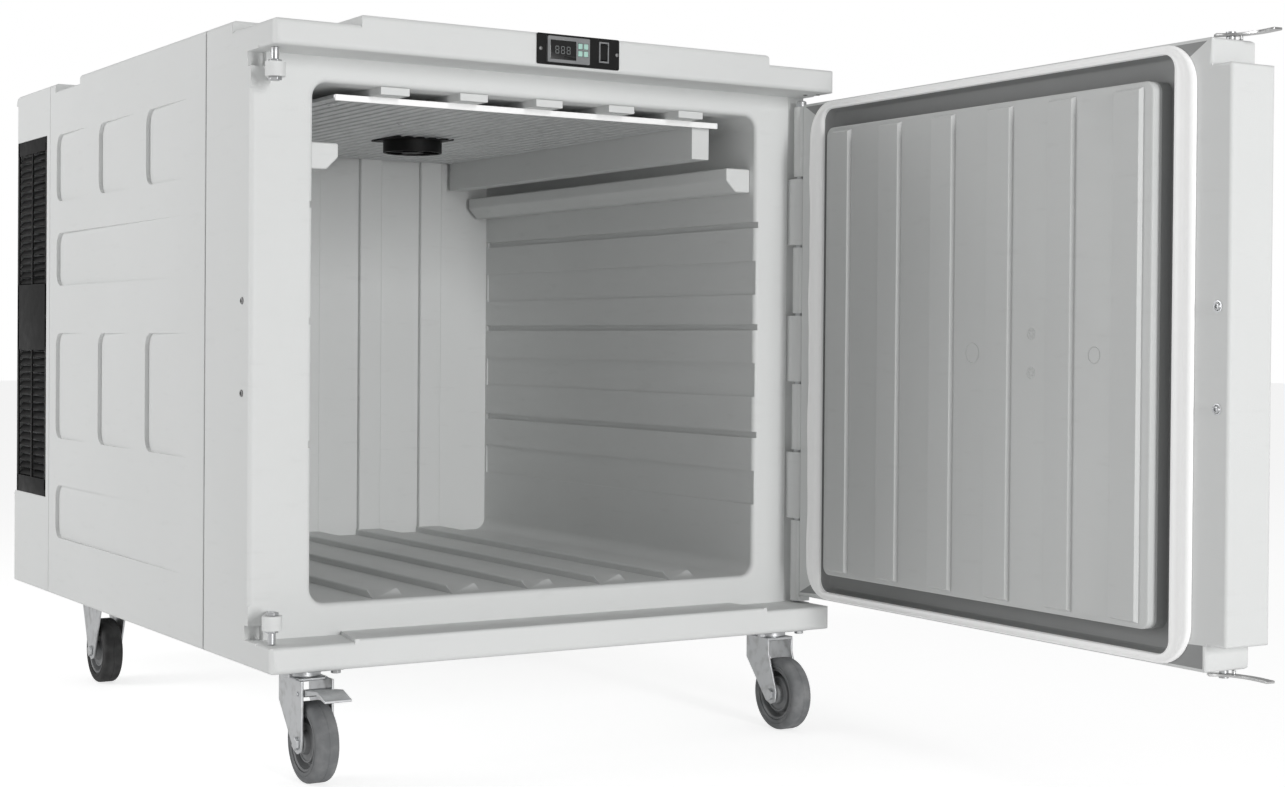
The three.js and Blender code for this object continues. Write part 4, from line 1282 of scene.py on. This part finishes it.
# twisted blades about a hub, drawn along Z and then turned to the fan's axis
def fanWheel(name, centre, axis, radius, hub, height, blades):
    pieces = []
    tall = height / 2
    profile = [(0.0001, tall), (hub * 0.8, tall), (hub, tall - 0.002), (hub, -tall), (0.0035, -tall)]
    profile += [(0.0035, -tall + 0.003), (0.0001, -tall + 0.003)]
    pieces.append(spun("hub", (0, 0, 0), (0, 0, 1), profile, 32))
    across, along = 8, 6
    for i in range(blades):
        deselectAll()
        bpy.ops.mesh.primitive_grid_add(x_subdivisions=across, y_subdivisions=along, size=1)
        blade = bpy.context.active_object
        for vertex in blade.data.vertices:
            span, chord = vertex.co.x + 0.5, vertex.co.y
            out = hub * 0.95 + span * (radius - hub * 0.95)
            sweep = chord * (0.62 + 0.25 * span) + 0.25 * span ** 2
            lift = chord * height * (0.95 - 0.35 * span) + height * 0.12 * (1 - (2 * chord) ** 2)
            turn = sweep * 2 * math.pi / blades * 0.9 + i * 2 * math.pi / blades
            vertex.co = (out * math.cos(turn), out * math.sin(turn), lift)
        wall = blade.modifiers.new("wall", "SOLIDIFY")
        wall.thickness = 0.0016
        wall.offset = 0
        applyModifiers(blade)
        smooth(blade, 40)
        pieces.append(blade)
    piece = joined(name, pieces)
    turn = Vector(axis).to_track_quat("Z", "Y").to_matrix().to_4x4()
    piece.data.transform(Matrix.Translation(Vector(centre)) @ turn)
    return piece


def buildFan():
    housing = softened("fanFrame", "fan_housing", radius=0.0008, small=0.0006, longEdge=0.02)
    finishPiece(housing, blackPlastic, "carrier", "black_plastic", "fan_housing")
    low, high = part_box("fan_impeller")
    radius = (high.x - low.x) / 2
    wheel = fanWheel("fanWheel", (low + high) / 2, (0, 0, -1), radius, 0.019, (high.z - low.z) * 0.92, 7)
    finishPiece(wheel, blackPlastic, "evaporator_fan", "black_plastic", "fan_impeller")
    low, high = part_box("condenser_impeller")
    radius = (high.z - low.z) / 2
    wheel = fanWheel("coilFanWheel", (low + high) / 2, (1, 0, 0), radius, 0.024, (high.x - low.x) * 0.9, 7)
    finishPiece(wheel, blackPlastic, "condenser_fan", "black_plastic", "condenser_impeller")
    shroud = softened("coilFanFrame", "condenser_shroud", radius=0.0008, small=0.0006, longEdge=0.02)
    finishPiece(shroud, blackPlastic, "carrier", "black_plastic", "condenser_shroud")


buildColdPlate(plateValues)
buildColdPlateLip()
buildFan()
print("cold plate and fans done")


# condenser coil, compressor, electrics and mains inlet
coolingValues = {"finPitch": 0.0042, "tubes": 12, "tubeRadius": 0.0045}


def buildCoil(values):
    low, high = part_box("condenser")
    finLow = (low.x + 0.002, low.y + 0.004, low.z)
    fin = block("fin", finLow, (high.x - 0.002, high.y - 0.004, low.z + 0.0006))
    bank = fin.modifiers.new("bank", "ARRAY")
    bank.use_relative_offset = False
    bank.use_constant_offset = True
    pitch = values["finPitch"]
    bank.constant_offset_displace = (0, 0, pitch)
    bank.count = int((high.z - low.z - 0.001) / pitch)
    applyModifiers(fin)
    pieces = [fin]
    for y in (low.y, high.y - 0.002):
        pieces.append(block("endPlate", (low.x, y, low.z), (high.x, y + 0.002, high.z), 0.0005, 2))
    for i in range(values["tubes"]):
        x, z = low.x + 0.014, low.z + (high.z - low.z) * (i + 0.5) / values["tubes"]
        pieces.append(bar("tube", (x, low.y - 0.003, z), (x, high.y + 0.003, z), values["tubeRadius"], 12))
    finishPiece(joined("coil", pieces), aluminium, "carrier", "aluminium", "condenser")


def buildCompressor():
    low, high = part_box("compressor")
    middle = (low + high) / 2
    tall = high.z - low.z
    r = (high.y - low.y) / 2 * 0.98
    profile = [(0.0001, 0.012), (r * 0.9, 0.012), (r * 0.97, 0.02), (r, 0.03), (r, tall * 0.52)]
    profile += [(r * 1.02, tall * 0.53), (r * 1.02, tall * 0.56), (r, tall * 0.57)]
    for i in range(9):
        turn = i / 8 * math.pi / 2
        profile.append((max(r * math.cos(turn), 0.0001), tall * 0.68 + tall * 0.32 * math.sin(turn)))
    pot = spun("compressorPot", (middle.x, middle.y, low.z), (0, 0, 1), profile, 48)
    base = block("foot", (low.x, low.y + 0.006, low.z), (high.x, high.y - 0.006, low.z + 0.013), 0.003)
    finishPiece(joined("compressorPot", [pot, base]), blackPlastic, "carrier", "black_plastic", "compressor")


def buildElectrics():
    low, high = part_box("electrical_box")
    case = block("case", low, high, 0.004)
    lidLow = (low.x + 0.006, high.y - 0.001, low.z + 0.006)
    lid = block("lid", lidLow, (high.x - 0.006, high.y + 0.003, high.z - 0.006), 0.002)
    finishPiece(joined("electricsBox", [case, lid]), greyPlastic, "carrier", "grey_plastic", "electrical_box")


def buildInlet():
    inlet = softened("inletSocket", "power_inlet", radius=0.001, small=0.0008, longEdge=0.01)
    low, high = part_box("power_inlet")
    middle = (low + high) / 2
    pins = []
    for dx, dz in ((-0.006, -0.002), (0.006, -0.002), (0, 0.003)):
        x, z = middle.x + dx, middle.z + dz
        pinLow = (x - 0.0015, high.y - 0.016, z - 0.003)
        pins.append(block("pin", pinLow, (x + 0.0015, high.y - 0.003, z + 0.003), 0.0005, 2))
    inlet = joined("inletSocket", [inlet] + pins)
    finishPiece(inlet, blackPlastic, "carrier", "black_plastic", "power_inlet")


buildCoil(coolingValues)
buildCompressor()
buildElectrics()
buildInlet()
print("cooling unit done")


controlValues = {"digits": 3, "digitHeight": 0.0125, "digitWidth": 0.007, "bar": 0.0013, "gap": 0.0035}


def buildControls():
    plate = softened("controlPlate", "controller_plate", radius=0.0008, small=0.0006, longEdge=0.006)
    finishPiece(plate, blackPlastic, "carrier", "black_plastic", "controller_plate")
    bezel = evenShade(copyOf("controlBezel", "controller_bezel"))
    finishPiece(bezel, greyPlastic, "carrier", "grey_plastic", "controller_bezel")
    frame = evenShade(copyOf("switchFrame", "switch_bezel"))
    finishPiece(frame, greyPlastic, "carrier", "black_plastic", "switch_bezel")
    low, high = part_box("controller_display")
    pane = block("screenPane", low, high, 0.0004, 2)
    finishPiece(pane, screenPlastic, "carrier", "screen", "controller_display")
    for number in ("1", "2", "3", "4"):
        name, source = "button" + number, "key_" + number
        key = softened(name, source, radius=0.0011, small=0.0011, longEdge=0.001)
        low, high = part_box(source)
        x, z = (low.x + high.x) / 2, (low.z + high.z) / 2
        markLow = (x - 0.0018, low.y - 0.0002, z - 0.0004)
        mark = block("mark", markLow, (x + 0.0018, low.y + 0.0006, z + 0.0004))
        finishPiece(joined(name, [key, mark]), mintPlastic, "button_" + number, "keys", source)
    rocker = softened("rockerKey", "rocker", radius=0.001, small=0.001, longEdge=0.001)
    finishPiece(rocker, blackPlastic, "power_rocker", "black_plastic", "rocker")


# seven-bar digits on the pane, all bars showing faintly
def buildDigits(values):
    low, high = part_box("controller_display")
    tall, wide, thick = values["digitHeight"], values["digitWidth"], values["bar"]
    bars = []
    for i in range(values["digits"]):
        x = low.x + 0.009 + i * (wide + values["gap"])
        z = (low.z + high.z) / 2 - tall / 2
        for h in (0, 0.5, 1):
            foot = z + h * (tall - thick)
            bars.append(((x + thick * 0.6, foot), (x + wide - thick * 0.6, foot + thick)))
        for h in (0, 1):
            foot, head = z + h * tall / 2 + thick * 0.7, z + (h + 1) * tall / 2 - thick * 0.7
            for w in (0, 1):
                left = x + w * (wide - thick)
                bars.append(((left, foot), (left + thick, head)))
    pieces = []
    for start, end in bars:
        pieces.append(block("bar", (start[0], low.y - 0.00025, start[1]), (end[0], low.y + 0.0002, end[1])))
    finishPiece(joined("digits", pieces), digitPlastic, "carrier", "screen")


buildControls()
buildDigits(controlValues)
print("controls done")


def buildIronwork():
    low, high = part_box("hinge_pin")
    middle = (low + high) / 2
    r = (high.x - low.x) / 2
    tall, chamfer = high.z - low.z, 0.0015
    profile = [(0.0001, 0), (r - chamfer, 0), (r, chamfer), (r, tall - chamfer)]
    profile += [(r - chamfer, tall), (0.0001, tall)]
    pin = spun("hingePin", (middle.x, middle.y, low.z), (0, 0, 1), profile, 32)
    finishPiece(pin, zincPlate, "carrier", "zinc", "hinge_pin")
    for end in ("top", "bottom"):
        source = "keeper_bolt_" + end
        bolt = softened("keeper" + end.title(), source, radius=0.001, small=0.0008, longEdge=0.004)
        finishPiece(bolt, zincPlate, "carrier", "zinc", source)
        source = "latch_post_" + end
        post = softened("latchPost" + end.title(), source, radius=0.0006, small=0.0005, longEdge=0.004)
        finishPiece(post, zincPlate, "door", "zinc", source)
        source = "latch_lever_" + end
        lever = softened("latchPlate" + end.title(), source, radius=0.001, small=0.0008, longEdge=0.004)
        finishPiece(lever, stainless, end + "_lever", "stainless", source)


buildIronwork()


tyreValues = {"bore": 0.0453, "shoulder": 0.008, "line": 0.0007}


# rubber ring with round shoulders, a groove in each side and a fine one round its tread
def buildTyre(prefix, body, paint, slot, values):
    low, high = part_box(prefix + "_tyre")
    middle = (low + high) / 2
    r = (high.z - low.z) / 2
    w = (high.x - low.x) / 2
    inner, shoulder, line = values["bore"], values["shoulder"], values["line"]
    edge = r - shoulder
    side = [(inner, -w + 0.001), (inner + 0.002, -w), (edge - 0.0045, -w), (edge - 0.0038, -w + line)]
    side += [(edge - 0.0026, -w + line), (edge - 0.0019, -w)]
    for i in range(6):
        turn = i / 5 * math.pi / 2
        side.append((edge + shoulder * math.sin(turn), -w + shoulder - shoulder * math.cos(turn)))
    side += [(r, -0.0016), (r - 0.0006, -0.0008)]
    profile = side + [(a, -b) for a, b in reversed(side)]
    piece = spun(prefix + "Tread", middle, (1, 0, 0), profile, 64, closed=True)
    return finishPiece(piece, paint, body, slot, prefix + "_tyre")


def buildRim(prefix, body):
    low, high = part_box(prefix + "_rim")
    middle = (low + high) / 2
    hub = (high.x - low.x) / 2
    bore, seat = 0.0063, 0.045
    # from the axle out: boss, dished face, raised ring, deep channel, flange under the tyre
    side = [
        (bore, -hub), (0.0155, -hub), (0.017, -hub + 0.0015), (0.0185, -0.0118), (0.0275, -0.0108),
        (0.0285, -0.0125), (0.0305, -0.0125), (0.0315, -0.0105), (0.032, -0.003), (0.0385, -0.003),
        (0.0405, -0.0155), (seat - 0.002, -0.0172), (seat, -0.016),
    ]
    profile = side + [(r, -h) for r, h in reversed(side)]
    piece = spun(prefix + "Disc", middle, (1, 0, 0), profile, 64, closed=True)
    return finishPiece(piece, rimPlastic, body, "rim", prefix + "_rim")


# "holds" is the body that the fork or bracket rides on
castors = {
    "castor_front_left": {"holds": "left_fork", "wheel": "left_wheel", "front": True},
    "castor_front_right": {"holds": "right_fork", "wheel": "right_wheel", "front": True},
    "castor_rear_left": {"holds": "carrier", "wheel": "rear_left_wheel", "front": False},
    "castor_rear_right": {"holds": "carrier", "wheel": "rear_right_wheel", "front": False},
}


def buildCastors():
    for prefix, parts in castors.items():
        front = parts["front"]
        paint, slot = (greyTyre, "grey_tyre") if front else (blackTyre, "black_tyre")
        buildTyre(prefix, parts["wheel"], paint, slot, tyreValues)
        buildRim(prefix, parts["wheel"])
        source = prefix + ("_fork" if front else "_bracket")
        legs = softened(prefix + "Legs", source, radius=0.0011, small=0.0009, longEdge=0.01)
        finishPiece(legs, zincPlate, parts["holds"], "zinc", source)
        source = prefix + "_axle"
        axle = softened(prefix + "Bolt", source, radius=0.0008, small=0.0006, longEdge=0.01)
        finishPiece(axle, zincPlate, parts["holds"], "zinc", source)
        if front:
            source = prefix + "_plate"
            plate = softened(prefix + "Top", source, radius=0.001, small=0.0008, longEdge=0.01)
            finishPiece(plate, zincPlate, "carrier", "zinc", source)
    pedal = softened("brakePedal", "castor_front_left_pedal", radius=0.001, small=0.0007, longEdge=0.01)
    finishPiece(pedal, zincPlate, "left_brake", "zinc", "castor_front_left_pedal")


buildCastors()
print("ironwork and castors done")


viewCamera = {
    "back": 2980.3,
    "left": 1682.1,
    "height": 676.2,
    "yaw": 32.227,
    "pitch": -0.641,
    "roll": 0.463,
    "lens": 57.37,
    "shiftX": -0.00393,
    "shiftY": -0.02117,
}


def buildCamera(values):
    yaw, pitch, roll = (math.radians(values[key]) for key in ("yaw", "pitch", "roll"))
    ahead = Vector((math.sin(yaw) * math.cos(pitch), math.cos(yaw) * math.cos(pitch), math.sin(pitch)))
    level = Vector((math.cos(yaw), -math.sin(yaw), 0))
    upright = level.cross(ahead)
    right = level * math.cos(roll) + upright * math.sin(roll)
    up = upright * math.cos(roll) - level * math.sin(roll)
    data = bpy.data.cameras.new("camera")
    data.lens = values["lens"]
    data.sensor_width = 36
    data.sensor_fit = "HORIZONTAL"
    data.shift_x = values["shiftX"]
    data.shift_y = values["shiftY"]
    data.clip_end = 60
    camera = bpy.data.objects.new("camera", data)
    scene.collection.objects.link(camera)
    turn = Matrix((right, up, -ahead)).transposed().to_4x4()
    camera.matrix_world = Matrix.Translation(at(-values["left"], -values["back"], values["height"])) @ turn
    scene.camera = camera
    return camera


# a strength that is one value to the camera and another to the light that bounces
def seenStrength(tree, seen, bounced, socket):
    strength = tree.nodes.new("ShaderNodeMapRange")
    strength.inputs["To Min"].default_value = bounced
    strength.inputs["To Max"].default_value = seen
    tree.links.new(tree.nodes.new("ShaderNodeLightPath").outputs["Is Camera Ray"], strength.inputs["Value"])
    tree.links.new(strength.outputs[0], socket)


floorValues = {"colour": 0.55, "seen": 0.72, "bounced": 0.32}


def buildFloor(values):
    deselectAll()
    bpy.ops.mesh.primitive_plane_add(size=60, location=(0, 0, -0.0005))
    floor = bpy.context.active_object
    floor.name = "floor"
    applyPlace(floor)
    paint = bpy.data.materials.new("floorPaint")
    paint.use_nodes = True
    shader = paint.node_tree.nodes["Principled BSDF"]
    shader.inputs["Base Color"].default_value = rgba(values["colour"])
    shader.inputs["Roughness"].default_value = 0.9
    shader.inputs["Specular IOR Level"].default_value = 0.1
    shader.inputs["Emission Color"].default_value = rgba(1.0)
    seenStrength(paint.node_tree, values["seen"], values["bounced"], shader.inputs["Emission Strength"])
    dress(floor, paint)


studioLights = {
    "front": {"from": (-20, -9000, 1700), "wide": 0.95, "tall": 3.6, "power": 400},
    "side": {"from": (-3900, 1900, 1900), "wide": 1.8, "tall": 2.4, "power": 64},
    "top": {"from": (200, 600, 5000), "wide": 2.6, "tall": 2.6, "power": 25},
}


def buildLights(values):
    target = at(0, 400, 600)
    for name, light in values.items():
        data = bpy.data.lights.new(name, "AREA")
        data.shape = "RECTANGLE"
        data.size = light["wide"]
        data.size_y = light["tall"]
        data.energy = light["power"]
        lamp = bpy.data.objects.new(name, data)
        scene.collection.objects.link(lamp)
        spot = at(*light["from"])
        lamp.location = spot
        lamp.rotation_euler = (target - spot).to_track_quat("-Z", "Y").to_euler()
    # the studio is white to look at, and its walls give a softer light
    world = bpy.data.worlds.new("studio")
    world.use_nodes = True
    tree = world.node_tree
    glow = tree.nodes["Background"]
    glow.inputs["Color"].default_value = rgba(1.0)
    seenStrength(tree, 1.0, 0.31, glow.inputs["Strength"])
    scene.world = world
    scene.view_settings.view_transform = "Standard"


buildCamera(viewCamera)
buildFloor(floorValues)
buildLights(studioLights)
print("camera and light set")
